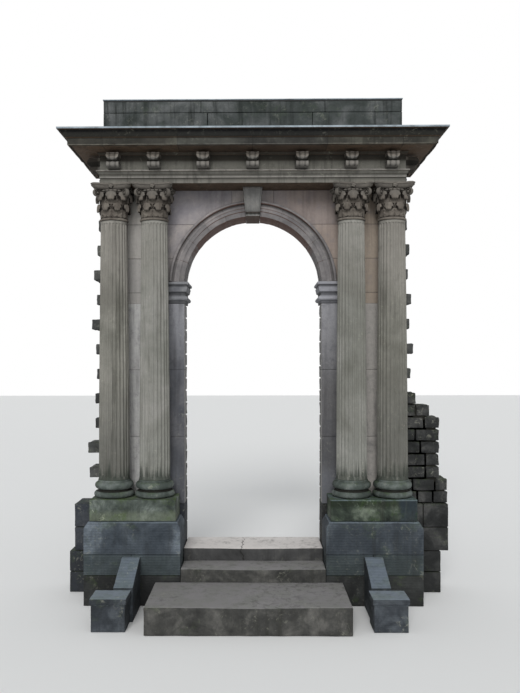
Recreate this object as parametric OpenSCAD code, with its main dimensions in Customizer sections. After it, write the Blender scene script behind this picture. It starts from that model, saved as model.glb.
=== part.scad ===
// Garden arch of dressed stone on a thin wall, with paired fluted columns,
// a console cornice and a plain attic. Millimetres, +Z up, +Y to the rear.
// The origin is on the ground in the middle of the archway, at mid wall.

/* [Archway] */
// Clear width of the archway between its jambs
opening_w = 1770; // [1500:10:1900]
// Thickness of the wall
wall_t = 420; // [300:10:520]
// Height of wall between the archivolt and the architrave
crown_gap = 138; // [80:2:280]
// Height of the impost stones
impost_h = 281; // [200:1:320]
// How far the impost rises above the arch centre
impost_rise = 44; // [20:1:110]
// Projection of the impost moulding
impost_out = 56; // [20:1:58]
// Width of the archivolt ring across the arch
archivolt_w = 200; // [150:5:220]
// Projection of the outer moulding of the archivolt
archivolt_out = 58; // [30:1:80]
// Half of the angle that the keystone fills
keystone_angle = 5.8; // [4:0.1:8]
// Projection of the top of the keystone from the wall
keystone_out = 205; // [120:5:230]

/* [Steps] */
// Height of the landing slab
landing_h = 315; // [250:5:340]
// Depth of the landing slab in front of the middle step
landing_d = 925; // [700:5:1100]
// Landing slab from the middle of the archway to its left end
landing_left = 1190; // [1000:5:1300]
// Landing slab from the middle of the archway to its right end
landing_right = 1085; // [1000:5:1300]
// Rise of each upper step
step_rise = 155; // [120:1:165]
// Middle step in front of the pedestals
middle_out = 52; // [0:2:80]
// Depth of the tread of the middle step
tread_d = 405; // [300:5:460]

/* [Cheek walls of the steps] */
// Height of the end blocks
cheek_block_h = 375; // [300:5:420]
// Width of the end blocks
cheek_block_w = 412; // [320:2:440]
// Depth of the end blocks
cheek_block_d = 335; // [250:5:400]
// Height of the cap of the end blocks
cheek_cap_h = 72; // [40:2:110]
// Projection of the cap of the end blocks
cheek_cap_out = 14; // [6:1:24]
// Left end block outward from the inner side of its coping
left_block_shift = 43; // [0:1:90]
// Right end block inward from the inner side of its coping
right_block_shift = 38; // [0:1:60]
// Copings outward from the inner end of the pedestals
cheek_in = 462; // [400:2:560]
// Sideways shift of the left cheek wall
left_cheek_shift = 25; // [0:1:60]
// Width of the sloping copings
cheek_w = 230; // [180:5:260]
// Length of the sloping copings
cheek_d = 550; // [400:5:600]
// Height of the sloping copings where they meet the pedestals
cheek_top = 605; // [500:5:680]
// Radius of the rounded nose at the top of the copings
cheek_nose = 60; // [30:5:90]

/* [Pedestals] */
// Height of the bottom course under the pedestals
footing_h = 375; // [300:5:420]
// Height of the pedestals above the bottom course
pedestal_h = 645; // [560:5:700]
// Height of the sloping wash along the top edge of the pedestals
wash_h = 75; // [40:5:100]
// Width of the sloping wash
wash_w = 50; // [30:5:100]
// Flat margin of a pedestal round its plinth
pedestal_margin = 10; // [4:1:50]
// Height of the plinth that a pair of columns shares
plinth_h = 270; // [200:5:320]
// Plinth from the axis of the inner column to its inner end
plinth_in = 295; // [265:5:320]
// Plinth from the axis of the outer column to its outer end
plinth_out = 262; // [258:2:300]
// Plinth from the column axes to its front
plinth_front = 262; // [258:2:300]

/* [Columns] */
// Distance of the inner column axes from the jambs
column_in = 356; // [330:2:420]
// Distance between the two columns of a pair
column_pitch = 512; // [508:2:560]
// Distance of the column axes from the face of the wall
column_out = 214; // [200:2:240]
// Height of a column base
base_h = 220; // [160:5:260]
// Radius of the lower ring of a base
base_r = 252; // [235:1:253]
// Height of a shaft
shaft_h = 3230; // [3150:10:3500]
// Radius at the foot of a shaft
shaft_r = 193; // [180:1:198]
// Radius at the top of a shaft
shaft_top_r = 165; // [155:1:172]
// Number of flutes round a shaft
flutes = 24; // [16:1:24]
// Depth of a flute
flute_depth = 15; // [8:1:18]
// Height of a capital with its ring
capital_h = 455; // [400:5:480]
// Half of the width of a capital's top slab, across its horns
abacus_half = 251; // [240:1:253]

/* [Entablature] */
// Wall and entablature beyond the outer column axes
wall_end = 143; // [120:1:170]
// Entablature in front of the face of the wall
entablature_out = 380; // [330:5:420]
// Entablature behind the rear of the wall
rear_out = 120; // [60:5:160]
// Height of the architrave
architrave_h = 160; // [130:5:190]
// Height of the frieze up to the soffit of the cornice
frieze_h = 220; // [190:5:250]
// Projection of the flat soffit beyond the frieze
soffit_out = 324; // [280:2:360]
// Height of the upright face of the cornice
corona_h = 85; // [60:5:110]
// Height of the curved top moulding of the cornice
cyma_h = 100; // [60:5:120]
// Projection of the curved top moulding
cyma_out = 100; // [60:5:120]
// Width of a console
console_w = 153; // [120:1:170]
// Height of a console
console_h = 172; // [150:1:180]
// Projection of a console from the frieze
console_out = 185; // [150:1:230]
// Distance between the consoles over the archway
console_step = 606; // [560:2:680]
// Distance between the two consoles over a pair of columns
console_pair = 500; // [440:5:540]
// Distance of the end consoles from the corners of the frieze
console_in = 165; // [100:5:240]
// Rise of the metal cover from the cornice edge to the attic
flashing_rise = 42; // [20:1:70]
// Thickness of the metal cover
flashing_t = 4; // [3:1:8]
// Height of the edge of the metal cover that is turned down
flashing_lip = 16; // [10:2:40]

/* [Attic] */
// Height of the attic without its coping
attic_h = 421; // [380:1:640]
// Step back of the attic from the frieze
attic_back = 36; // [10:1:80]
// Height of the attic coping
coping_h = 32; // [25:1:60]
// Projection of the attic coping
coping_out = 6; // [2:1:40]

/* [Broken wall ends] */
// Height of one course of the wall
course_h = 160; // [140:5:180]
// Lower course of the wall plinth above the bottom course of the pedestals
plinth_low_rise = 165; // [100:5:220]
// Upper course of the wall plinth above the pedestals
plinth_high_rise = 130; // [80:5:180]
// Left wall plinth beyond the wall end
left_stub = 421; // [380:1:460]
// Right wall plinth beyond the wall end
right_stub = 622; // [560:2:660]
// Lower course beyond the upper one on the left
left_set_off = 65; // [30:1:90]
// Upper course beyond the lower one on the right
right_set_off = 98; // [40:2:120]
// Greatest reach of a broken stone beyond the wall end
tooth_reach = 256; // [180:2:300]

/* [Hidden] */

left = -1;
right = 1;
eps = 1;
far = 9000;

wall_front = -wall_t / 2;
wall_rear = wall_t / 2;
jamb_x = opening_w / 2;
inner_x = jamb_x + column_in;
outer_x = inner_x + column_pitch;
half_l = outer_x + wall_end;
column_y = wall_front - column_out;

plinth_x0 = inner_x - plinth_in;
plinth_x1 = outer_x + plinth_out;
plinth_y = column_y - plinth_front;
pedestal_x0 = plinth_x0 - pedestal_margin - wash_w;
pedestal_x1 = plinth_x1 + pedestal_margin + wash_w;
pedestal_y = plinth_y - pedestal_margin - wash_w;
step_joint = 2;

middle_z = landing_h + step_rise;
threshold_z = middle_z + step_rise;
pedestal_z = footing_h + pedestal_h;
plinth_z = pedestal_z + plinth_h;
shaft_z = plinth_z + base_h;
capital_z = shaft_z + shaft_h;
architrave_z = capital_z + capital_h;
frieze_z = architrave_z + architrave_h;
soffit_z = frieze_z + frieze_h;
cornice_top = soffit_z + corona_h + cyma_h;
attic_z = cornice_top + flashing_rise;
attic_top = attic_z + attic_h;

ring_r = jamb_x + archivolt_w;
springing_z = architrave_z - crown_gap - ring_r;
impost_top = springing_z + impost_rise;
impost_z = impost_top - impost_h;
wall_plinth_low_z = footing_h + plinth_low_rise;
wall_plinth_z = pedestal_z + plinth_high_rise;

front_y = wall_front - entablature_out;
rear_y = wall_rear + rear_out;
riser_y = pedestal_y - middle_out;
threshold_y = riser_y + tread_d;
threshold_x = min(jamb_x, pedestal_x0 - step_joint);
cheek_x0 = pedestal_x0 + cheek_in;
cheek_y = pedestal_y - cheek_d;
left_cheek_x = cheek_x0 + left_cheek_shift;
left_block_x = cheek_x0 + left_block_shift;
right_block_x = cheek_x0 - right_block_shift;

// Reach of the broken stones as a share of the greatest one, from the lowest up
left_shares = [0.94, 1, 0.64, 0.63, 0.55, 0.59, 0.8, 0.55, 0.7, 0.52, 0.45];
right_shares = [0.59, 0.74, 0.53, 0.64, 0.47, 0.55, 0.43];
// Steps of the broken wall on the right: [share of its length, courses above the plinth]
stub_steps = [[1, 2], [0.83, 7], [0.63, 8], [0.35, 9]];

masonry = [0.46, 0.46, 0.45];
ashlar = [0.52, 0.51, 0.48];
slate = [0.35, 0.39, 0.42];
pale = [0.78, 0.77, 0.74];
rough = [0.33, 0.33, 0.31];
dark = [0.24, 0.24, 0.22];
metal = [0.55, 0.62, 0.62];

// Points of an arc about a centre, from one angle to another
function arc(cx, cy, r, from, to, n) =
  [for (i = [0:n]) let (a = from + (to - from) * i / n) [cx + r * cos(a), cy + r * sin(a)]];

// Points of an S curve from one corner to another, flat at both ends
function s_curve(x0, y0, x1, y1, n) =
  [for (i = [0:n]) let (t = i / n) [x0 + (x1 - x0) * t, y0 + (y1 - y0) * (t - 0.13 * sin(360 * t))]];

function reversed(list) = [for (i = [len(list) - 1:-1:0]) list[i]];

// Outline closed over two sides: the profile right of b and its mirror left of a
function two_sided(profile, a, b) = concat(
  [for (p = profile) [b + p[0], p[1]]],
  [for (p = reversed(profile)) [a - p[0], p[1]]]
);

module block(x0, x1, y0, y1, z0, z1) {
  translate([x0, y0, z0]) cube([x1 - x0, y1 - y0, z1 - z0]);
}

// Block whose four sides carry one moulding with mitred corners.
// The profile is a list of [projection, height] from the bottom up.
module moulded_block(profile, half_x, y0, y1, z) {
  translate([0, 0, z]) intersection() {
    translate([0, far / 2, 0]) rotate([90, 0, 0])
      linear_extrude(far) polygon(two_sided(profile, -half_x, half_x));
    translate([-far / 2, 0, 0]) rotate([90, 0, 90])
      linear_extrude(far) polygon(two_sided(profile, y0, y1));
  }
}

// Outline in the X-Z plane made solid between two depths
module plate(y0, y1) {
  translate([0, y1, 0]) rotate([90, 0, 0]) linear_extrude(y1 - y0) children();
}

// Outline of [forward, height] made solid between two places along X
module slice_x(x0, x1) {
  translate([x1, 0, 0]) rotate([90, 0, -90]) linear_extrude(x1 - x0) children();
}

module on_side(side) {
  if (side == left) mirror([1, 0, 0]) children();
  else children();
}

module threshold_slab() {
  color(pale) block(-threshold_x, threshold_x, threshold_y, wall_rear, 0, threshold_z);
}

module middle_step() {
  color(pale) block(
    -pedestal_x0 + step_joint, pedestal_x0 - step_joint, riser_y, threshold_y, 0, middle_z);
}

module landing_slab() {
  color(pale) block(-landing_left, landing_right, riser_y - landing_d, riser_y, 0, landing_h);
}

// Sloping coping with a rounded nose at the top, on a cheek wall
cheek_lift = 18;
module cheek_coping(side, x0) {
  slope_foot = [-cheek_y, cheek_block_h + cheek_lift];
  nose = [-pedestal_y + 0.4 * cheek_nose, cheek_top - cheek_nose];
  way = slope_foot - nose;
  tangent = atan2(way[1], way[0]) + acos(cheek_nose / norm(way));
  color(slate) on_side(side) slice_x(x0, x0 + cheek_w) polygon(concat(
    [[-pedestal_y, 0], [-cheek_y, 0], slope_foot],
    arc(nose[0], nose[1], cheek_nose, tangent, 90, 5),
    [[-pedestal_y, cheek_top]]
  ));
}

// End block with a projecting cap
module cheek_block(side, x0) {
  out = cheek_cap_out;
  cap_z = cheek_block_h - cheek_cap_h;
  color(slate) on_side(side) union() {
    block(x0 + out, x0 + cheek_block_w - out, cheek_y - cheek_block_d + out, cheek_y, 0, cap_z);
    block(x0, x0 + cheek_block_w, cheek_y - cheek_block_d, cheek_y, cap_z, cheek_block_h);
  }
}

module footing(side) {
  color(dark) on_side(side)
    block(pedestal_x0, pedestal_x1, pedestal_y, wall_front, 0, footing_h);
}

// Pedestal with a sloping wash along its front and both ends
module pedestal(side) {
  mid = (pedestal_x0 + pedestal_x1) / 2;
  half = (pedestal_x1 - pedestal_x0) / 2;
  profile = [[0, 0], [0, pedestal_h - wash_h], [-wash_w, pedestal_h]];
  color(slate) on_side(side) intersection() {
    translate([mid, 0, 0])
      moulded_block(profile, half, pedestal_y, wall_rear + wash_w, footing_h);
    block(0, far, -far, wall_front, 0, far);
  }
}

module base_plinth(side) {
  color(slate) on_side(side)
    block(plinth_x0, plinth_x1, plinth_y, wall_front, pedestal_z, plinth_z);
}

// Wall plinth of a lower and an upper course that end apart
module wall_plinth(side, low, high) {
  color(rough) on_side(side) union() {
    block(jamb_x, half_l + low, wall_front, wall_rear, 0, wall_plinth_low_z);
    block(jamb_x, half_l + high, wall_front, wall_rear, wall_plinth_low_z, wall_plinth_z);
  }
}

module pier(side) {
  color(masonry) on_side(side)
    block(jamb_x, half_l, wall_front, wall_rear, wall_plinth_z, impost_z);
}

// Stones of every other course that stick out of the broken wall end
module toothing(side, shares, first) {
  inset = 14;
  joint = 3;
  color(rough) on_side(side) for (i = [0:len(shares) - 1])
    let (z = wall_plinth_z + (first + 2 * i) * course_h)
      if (z + course_h < architrave_z)
        block(half_l, half_l + shares[i] * tooth_reach, wall_front + inset, wall_rear - inset,
          z + joint, z + course_h - joint);
}

// Broken wall that steps down from the right wall end
module wall_stub() {
  inset = 10;
  color(rough) plate(wall_front + inset, wall_rear - inset) union() {
    for (s = stub_steps)
      translate([half_l, wall_plinth_z]) square([s[0] * right_stub, s[1] * course_h]);
  }
}

// Moulding of the impost: a round over a sunk neck, a hollow and a top band
impost_profile = concat(
  [[0.12 * impost_out, 0], [0.12 * impost_out, 0.11 * impost_h]],
  arc(0.22 * impost_out, 0.24 * impost_h, 0.11 * impost_h, -70, 70, 6),
  [[0.14 * impost_out, 0.38 * impost_h], [0.14 * impost_out, 0.5 * impost_h]],
  s_curve(0.42 * impost_out, 0.53 * impost_h, 0.72 * impost_out, 0.74 * impost_h, 6),
  [[impost_out, 0.77 * impost_h], [impost_out, 0.95 * impost_h], [0.8 * impost_out, impost_h]]
);

module impost(side) {
  mid = (jamb_x + inner_x) / 2;
  color(ashlar) on_side(side) intersection() {
    translate([mid, 0, 0])
      moulded_block(impost_profile, mid - jamb_x, wall_front, wall_rear, impost_z);
    block(0, inner_x, -far, far, 0, far);
  }
}

// Outline of the keystone between two radial joints
module keystone_outline(top) {
  reach = top - springing_z;
  polygon([
    [0, springing_z],
    [reach * tan(keystone_angle), top],
    [-reach * tan(keystone_angle), top]
  ]);
}

module spandrel(side) {
  color(masonry) on_side(side) plate(wall_front, wall_rear) difference() {
    translate([0, impost_z]) square([half_l, architrave_z - impost_z]);
    translate([0, springing_z]) circle(r = ring_r, $fn = 180);
    square([inner_x, impost_top]);
    keystone_outline(architrave_z);
  }
}

// Section of the archivolt: two flat bands, a hollow and an outer round,
// as [radius, distance forward of the middle of the wall]
archivolt_section = let (r = jamb_x, w = archivolt_w, d = wall_t / 2, out = archivolt_out)
  concat(
    [[r, -d], [r, d + 0.3 * out], [r + 0.3 * w, d + 0.3 * out]],
    [[r + 0.33 * w, d + 0.5 * out], [r + 0.5 * w, d + 0.5 * out], [r + 0.53 * w, d + 0.62 * out]],
    [[r + 0.66 * w, d + 0.62 * out], [r + 0.69 * w, d + 0.3 * out], [r + 0.8 * w, d + 0.3 * out]],
    arc(r + 0.9 * w, d + out - 0.1 * w, 0.1 * w, 170, 10, 8),
    [[r + w, d + out - 0.1 * w], [r + w, -d]]
  );

module archivolt(side) {
  color(ashlar) on_side(side) intersection() {
    translate([0, 0, springing_z]) rotate([90, 0, 0])
      rotate_extrude($fn = 180) polygon(archivolt_section);
    plate(-far / 2, far / 2) difference() {
      translate([0, impost_top]) square([far / 2, far / 2]);
      keystone_outline(far / 2);
    }
  }
}

// Keystone with a swelling front that leans forward to the top
module keystone() {
  drop = 6;
  foot = springing_z + jamb_x * cos(keystone_angle) - drop;
  low = 0.42 * keystone_out;
  rise = architrave_z - foot;
  band = 0.065 * rise;
  color(ashlar) intersection() {
    plate(-far / 2, wall_rear) keystone_outline(architrave_z);
    slice_x(-far / 4, far / 4) polygon(concat(
      [[wall_front, foot], [-wall_front + low, foot], [-wall_front + low, foot + band]],
      [[-wall_front + 0.82 * low, foot + 1.2 * band], [-wall_front + 0.82 * low, foot + 1.7 * band]],
      s_curve(-wall_front + low, foot + 2.1 * band,
        -wall_front + keystone_out, foot + 0.96 * rise, 10),
      [[-wall_front + keystone_out, architrave_z], [wall_front, architrave_z]]
    ));
  }
}

// Attic base: a lower ring, a hollow and an upper ring
base_section = let (r = base_r, h = base_h, t1 = 0.18 * base_h, t2 = 0.215 * base_h)
  concat(
    [[0, 0], [r - t1, 0]],
    arc(r - t1, t1, t1, -90, 90, 10),
    arc(r - 1.1 * t1, 0.41 * h, 0.048 * h, 250, 110, 6),
    arc(r - 9 - t2, 0.46 * h + t2, t2, -75, 90, 10),
    [[shaft_r + 12, 0.9 * h + 4], [shaft_r + 12, 0.96 * h], [shaft_r + 1, h], [0, h]]
  );

module in_front_of_wall() {
  intersection() {
    children();
    block(-far / 2, far / 2, -far / 2, wall_front, 0, far);
  }
}

module base(x) {
  color(slate) in_front_of_wall()
    translate([x, column_y, plinth_z]) rotate_extrude($fn = 96) polygon(base_section);
}

// Radius of a shaft at a share of its height, with a slight swelling
function shaft_radius(t) = shaft_r - (shaft_r - shaft_top_r) * pow(t, 1.6);

// One ring of a fluted shaft. A flute has two edge points and three within it.
flute_points = 5;
function shaft_ring(r, z, depth) = [
  for (i = [0:flutes - 1]) for (k = [0:flute_points - 1])
    let (
      pitch = 360 / flutes,
      a = pitch * (i + (k < 2 ? 0.24 * k - 0.12 : 0.12 + 0.76 * (k - 1) / 4)),
      sunk = k < 2 ? 0 : depth * sin(45 * (k - 1))
    )
    [(r - sunk) * cos(a), (r - sunk) * sin(a), z]
];

// Share of the height, and share of the flute depth, of each ring of a shaft
shaft_levels = [
  [0, 0], [0.012, 0], [0.026, 1], [0.35, 1], [0.68, 1], [0.966, 1], [0.98, 0], [1, 0]
];

module shaft(x) {
  n = flutes * flute_points;
  rings = len(shaft_levels);
  points = [
    for (level = shaft_levels)
      for (p = shaft_ring(shaft_radius(level[0]), level[0] * shaft_h, level[1] * flute_depth)) p
  ];
  sides = [
    for (j = [0:rings - 2]) for (i = [0:n - 1])
      let (a = j * n + i, b = j * n + (i + 1) % n)
        [a, a + n, b + n, b]
  ];
  floor_face = [[for (i = [0:n - 1]) i]];
  top_face = [[for (i = [n - 1:-1:0]) (rings - 1) * n + i]];
  color(ashlar) translate([x, column_y, shaft_z])
    polyhedron(points, concat(sides, floor_face, top_face), convexity = 6);
}

// Bell of a capital under its top slab, with the ring at its foot
module bell() {
  ring = 18;
  rotate_extrude($fn = 64) polygon(concat(
    [[0, 0], [shaft_top_r, 0]],
    arc(shaft_top_r, ring, ring, -90, 90, 8),
    [[shaft_top_r - 14, 2 * ring]],
    [[shaft_top_r - 16, 0.45 * capital_h], [shaft_top_r + 4, 0.72 * capital_h]],
    [[shaft_top_r + 26, 0.84 * capital_h], [0, 0.84 * capital_h]]
  ));
}

// Top slab of a capital with four hollow sides and cut horns
module abacus() {
  hollow_r = 1.55 * abacus_half;
  deep = 0.17 * abacus_half;
  translate([0, 0, 0.84 * capital_h]) linear_extrude(0.16 * capital_h) difference() {
    intersection() {
      square(2 * abacus_half, center = true);
      rotate(45) square(2.62 * abacus_half, center = true);
    }
    for (q = [0:3]) rotate(90 * q)
      translate([abacus_half + hollow_r - deep, 0]) circle(r = hollow_r, $fn = 96);
  }
}

// Leaf that rises against the bell and curls over at its tip
module leaf(height, foot_r, tip_r, width) {
  curl = 0.14 * height;
  back_r = foot_r - 30;
  side = concat(
    [[back_r, 0], [foot_r, 0], [foot_r + 6, 0.6 * height]],
    arc(tip_r - curl, height - curl, curl, -120, 100, 7),
    [[back_r, height - 1.2 * curl]]
  );
  intersection() {
    translate([0, width / 2, 0]) rotate([90, 0, 0]) linear_extrude(width) polygon(side);
    rotate([90, 0, 90]) linear_extrude(far / 4) polygon([
      [-0.34 * width, -eps], [-0.5 * width, 0.3 * height], [-0.42 * width, 0.72 * height],
      [-0.16 * width, height + eps], [0.16 * width, height + eps],
      [0.42 * width, 0.72 * height], [0.5 * width, 0.3 * height], [0.34 * width, -eps]
    ]);
  }
}

// Scroll under a horn of the top slab, let into the slab a little
module scroll() {
  r = 0.098 * capital_h;
  w = 44;
  sunk = 5;
  at = 0.985 * abacus_half;
  axis_z = 0.84 * capital_h - r + sunk;
  translate([at, w / 2, axis_z]) rotate([90, 0, 0]) cylinder(h = w, r = r, $fn = 48);
  translate([0.5 * at, -w / 2, axis_z]) cube([0.5 * at, w, r + sunk]);
}

// Round flower in the middle of each hollow side of the top slab
module flower() {
  at = 0.74 * abacus_half;
  translate([at, 0, 0.92 * capital_h]) rotate([0, 90, 0])
    cylinder(h = 0.2 * abacus_half, r = 0.078 * capital_h, $fn = 32);
}

module capital(x) {
  foot = 30;
  color(ashlar) in_front_of_wall() translate([x, column_y, capital_z]) union() {
    bell();
    abacus();
    for (q = [0:7]) rotate(45 * q + 22.5) translate([0, 0, foot])
      leaf(0.26 * capital_h, shaft_top_r - 2, 0.81 * abacus_half, 112);
    for (q = [0:7]) rotate(45 * q) translate([0, 0, foot])
      leaf(0.5 * capital_h, shaft_top_r - 6, 0.87 * abacus_half, 108);
    for (q = [0:3]) rotate(90 * q + 45) scroll();
    for (q = [0:3]) rotate(90 * q) flower();
  }
}

// Two fascias and a crowning moulding
architrave_profile = let (h = architrave_h) concat(
  [[0, 0], [0, 0.36 * h], [8, 0.38 * h], [8, 0.7 * h]],
  s_curve(12, 0.72 * h, 34, 0.9 * h, 6),
  [[42, 0.91 * h], [42, h]]
);

module architrave() {
  color(ashlar) moulded_block(architrave_profile, half_l, front_y, rear_y, architrave_z);
}

// Bed mould at the top of the frieze, under the flat soffit
bed_out = 34;
frieze_profile = let (h = frieze_h) concat(
  [[0, 0], [0, 0.84 * h]],
  s_curve(6, 0.85 * h, bed_out, 0.97 * h, 6),
  [[bed_out, h]]
);

module frieze() {
  color(ashlar) moulded_block(frieze_profile, half_l, front_y, rear_y, frieze_z);
}

// Console with a large scroll at the top and a small one at the foot,
// seen from its side as [forward, height below the soffit]
module console_side() {
  top_r = 0.26 * console_h;
  foot_r = 0.2 * console_h;
  foot_out = 0.66 * console_out;
  polygon(concat(
    [[0, -console_h + 8], [foot_out - 0.4 * foot_r, -console_h]],
    arc(foot_out, -console_h + foot_r, foot_r, -90, 70, 8),
    [[console_out - 1.75 * top_r, -0.585 * console_h]],
    arc(console_out - top_r, -top_r - 10, top_r, -120, 62, 10),
    [[console_out - 0.5 * top_r, 0], [0, 0]]
  ));
}

// Console on its axis, standing out towards the front from the origin
module console() {
  slice_x(-console_w / 2, console_w / 2) console_side();
}

console_z = frieze_z + 0.84 * frieze_h;
end_console = 2 * console_step + console_pair;
console_axes = concat(
  [-end_console, -2 * console_step, -console_step, 0],
  [console_step, 2 * console_step, end_console]
);
side_axes = [front_y + console_in, rear_y - console_in];

module front_consoles() {
  color(ashlar) for (x = console_axes) translate([x, front_y, console_z]) console();
}

module rear_consoles() {
  color(ashlar) for (x = console_axes)
    translate([x, rear_y, console_z]) rotate(180) console();
}

module side_consoles() {
  color(ashlar) for (side = [left, right]) on_side(side) for (y = side_axes)
    translate([half_l, y, console_z]) rotate(90) console();
}

// Section of the cornice: soffit, upright face, curved top moulding and sloping top.
// A cover adds the thickness of a sheet over the top and its edge.
function cornice_section(cover) = let (tip = soffit_out + cyma_out, top = corona_h + cyma_h) concat(
  [[0, 0], [soffit_out, 0], [soffit_out, corona_h - 8], [soffit_out + 8, corona_h]],
  s_curve(soffit_out + 12, corona_h, tip, top - flashing_lip, 8),
  cover > 0 ? [[tip + cover, top - flashing_lip]] : [],
  [[tip + cover, top + cover], [-attic_back, top + flashing_rise + cover]]
);

module cornice_stone(cover) {
  moulded_block(cornice_section(cover), half_l, front_y, rear_y, soffit_z);
}

module cornice() {
  color(dark) cornice_stone(0);
}

// Sheet metal over the top of the cornice, turned down over its edge
module cornice_flashing() {
  color(metal) difference() {
    cornice_stone(flashing_t);
    cornice_stone(0);
    block(-half_l + attic_back, half_l - attic_back, front_y + attic_back, rear_y - attic_back,
      soffit_z, far);
  }
}

module attic() {
  color(slate) block(-half_l + attic_back, half_l - attic_back,
    front_y + attic_back, rear_y - attic_back, attic_z, attic_top);
}

module attic_coping() {
  color(metal) block(-half_l + attic_back - coping_out, half_l - attic_back + coping_out,
    front_y + attic_back - coping_out, rear_y - attic_back + coping_out,
    attic_top, attic_top + coping_h);
}

threshold_slab();
middle_step();
landing_slab();
cheek_coping(left, left_cheek_x);  // left_cheek_coping
cheek_block(left, left_block_x);  // left_cheek_block
cheek_coping(right, cheek_x0);  // right_cheek_coping
cheek_block(right, right_block_x);  // right_cheek_block
footing(left);  // left_footing
footing(right);  // right_footing
pedestal(left);  // left_pedestal
pedestal(right);  // right_pedestal
base_plinth(left);  // left_base_plinth
base_plinth(right);  // right_base_plinth
wall_plinth(left, left_stub + left_set_off, left_stub);  // left_wall_plinth
wall_plinth(right, right_stub - right_set_off, right_stub);  // right_wall_plinth
pier(left);  // left_pier
pier(right);  // right_pier
toothing(left, left_shares, 2);  // left_toothing
toothing(right, right_shares, 10);  // right_toothing
wall_stub();  // right_wall_stub
impost(left);  // left_impost
impost(right);  // right_impost
spandrel(left);  // left_spandrel
spandrel(right);  // right_spandrel
archivolt(left);  // left_archivolt
archivolt(right);  // right_archivolt
keystone();
base(-outer_x);  // left_outer_base
base(-inner_x);  // left_inner_base
base(inner_x);  // right_inner_base
base(outer_x);  // right_outer_base
shaft(-outer_x);  // left_outer_shaft
shaft(-inner_x);  // left_inner_shaft
shaft(inner_x);  // right_inner_shaft
shaft(outer_x);  // right_outer_shaft
capital(-outer_x);  // left_outer_capital
capital(-inner_x);  // left_inner_capital
capital(inner_x);  // right_inner_capital
capital(outer_x);  // right_outer_capital
architrave();
frieze();
front_consoles();
side_consoles();
rear_consoles();
cornice();
cornice_flashing();
attic();
attic_coping();
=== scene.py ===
"""Weathered stone garden arch: worn masonry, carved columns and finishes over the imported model.

Everything is in metres in the frame of the model: +X to the right of the columned front,
+Y through the archway to the rear, +Z up, the origin on the ground in the middle of the archway.
A shape is a numpy surface, a finish is a tree of procedural nodes on Object coordinates.
"""
import logging
import math
from dataclasses import dataclass, field, replace
from enum import Enum
from typing import Sequence

import bpy
import numpy as np
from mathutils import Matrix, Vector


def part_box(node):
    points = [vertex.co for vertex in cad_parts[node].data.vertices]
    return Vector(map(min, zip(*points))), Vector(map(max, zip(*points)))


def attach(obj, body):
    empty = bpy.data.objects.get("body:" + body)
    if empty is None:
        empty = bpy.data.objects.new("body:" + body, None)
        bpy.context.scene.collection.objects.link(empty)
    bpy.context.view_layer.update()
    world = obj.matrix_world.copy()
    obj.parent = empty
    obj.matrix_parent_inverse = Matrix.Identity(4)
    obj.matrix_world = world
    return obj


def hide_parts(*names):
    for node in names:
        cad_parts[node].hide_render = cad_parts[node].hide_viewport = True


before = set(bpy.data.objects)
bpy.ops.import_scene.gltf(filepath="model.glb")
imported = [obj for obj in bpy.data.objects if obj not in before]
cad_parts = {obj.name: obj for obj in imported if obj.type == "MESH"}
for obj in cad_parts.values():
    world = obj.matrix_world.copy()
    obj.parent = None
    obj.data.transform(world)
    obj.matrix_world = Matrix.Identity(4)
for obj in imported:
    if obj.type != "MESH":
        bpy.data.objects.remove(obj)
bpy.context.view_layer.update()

LOG = logging.getLogger("garden_arch")

Color = tuple[float, float, float]
Display = tuple[int, int, int]
Profile = Sequence[tuple[float, float]]
Socket = bpy.types.NodeSocket

KEY_ANGLE = 5.8
"""Degrees from the upright that half of the keystone takes up."""
IMPOST_RISE = 0.044
"""Height of the imposts' tops over the arch centre in metres."""
ARRIS = 0.004
"""Usual softening of a moulding's edges in metres."""
FRIEZE_OUT = 0.034
"""How far the frieze's top moulding stands out from its face in metres."""


class Side(Enum):
    """Left or right half of the arch, as a sign along X."""

    LEFT = -1
    RIGHT = 1

    @property
    def word(self) -> str:
        """The side as it stands in the names of nodes and pieces."""
        return self.name.lower()


def tone(red: int, green: int, blue: int) -> Color:
    """Linear colour of an eight-bit display colour.

    Args:
        red, green, blue: display values from 0 to 255.

    Returns:
        The same colour as linear values from 0 to 1.
    """
    return tuple(
        c / 12.92 if c <= 0.04045 else ((c + 0.055) / 1.055) ** 2.4
        for c in (red / 255, green / 255, blue / 255)
    )


@dataclass(frozen=True)
class Span:
    """Lowest and highest corner of a node of the model."""

    x0: float
    x1: float
    y0: float
    y1: float
    z0: float
    z1: float

    @classmethod
    def of(cls, node: str) -> "Span":
        """Span of a node, read from the frame."""
        low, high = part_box(node)
        return cls(low.x, high.x, low.y, high.y, low.z, high.z)

    @property
    def mid_x(self) -> float:
        """Middle along X."""
        return (self.x0 + self.x1) / 2

    @property
    def mid_y(self) -> float:
        """Middle along Y."""
        return (self.y0 + self.y1) / 2

    @property
    def half_x(self) -> float:
        """Half of the length along X."""
        return (self.x1 - self.x0) / 2

    @property
    def outer(self) -> float:
        """Distance of the farther end from the middle of the archway."""
        return max(abs(self.x0), abs(self.x1))

    @property
    def height(self) -> float:
        """Length along Z."""
        return self.z1 - self.z0

    @property
    def box(self) -> np.ndarray:
        """The span as one row for stones()."""
        return np.array([(self.x0, self.x1, self.y0, self.y1, self.z0, self.z1)])


@dataclass
class Half:
    """What stands once on the left and once on the right."""

    side: Side

    def node(self, word: str) -> Span:
        """Span of a node of this half."""
        return Span.of(f"{self.side.word}_{word}")


def arch_centre() -> float:
    """Height of the centre that the arch is struck from."""
    return Span.of("left_impost").z1 - IMPOST_RISE


# Surfaces


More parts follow.
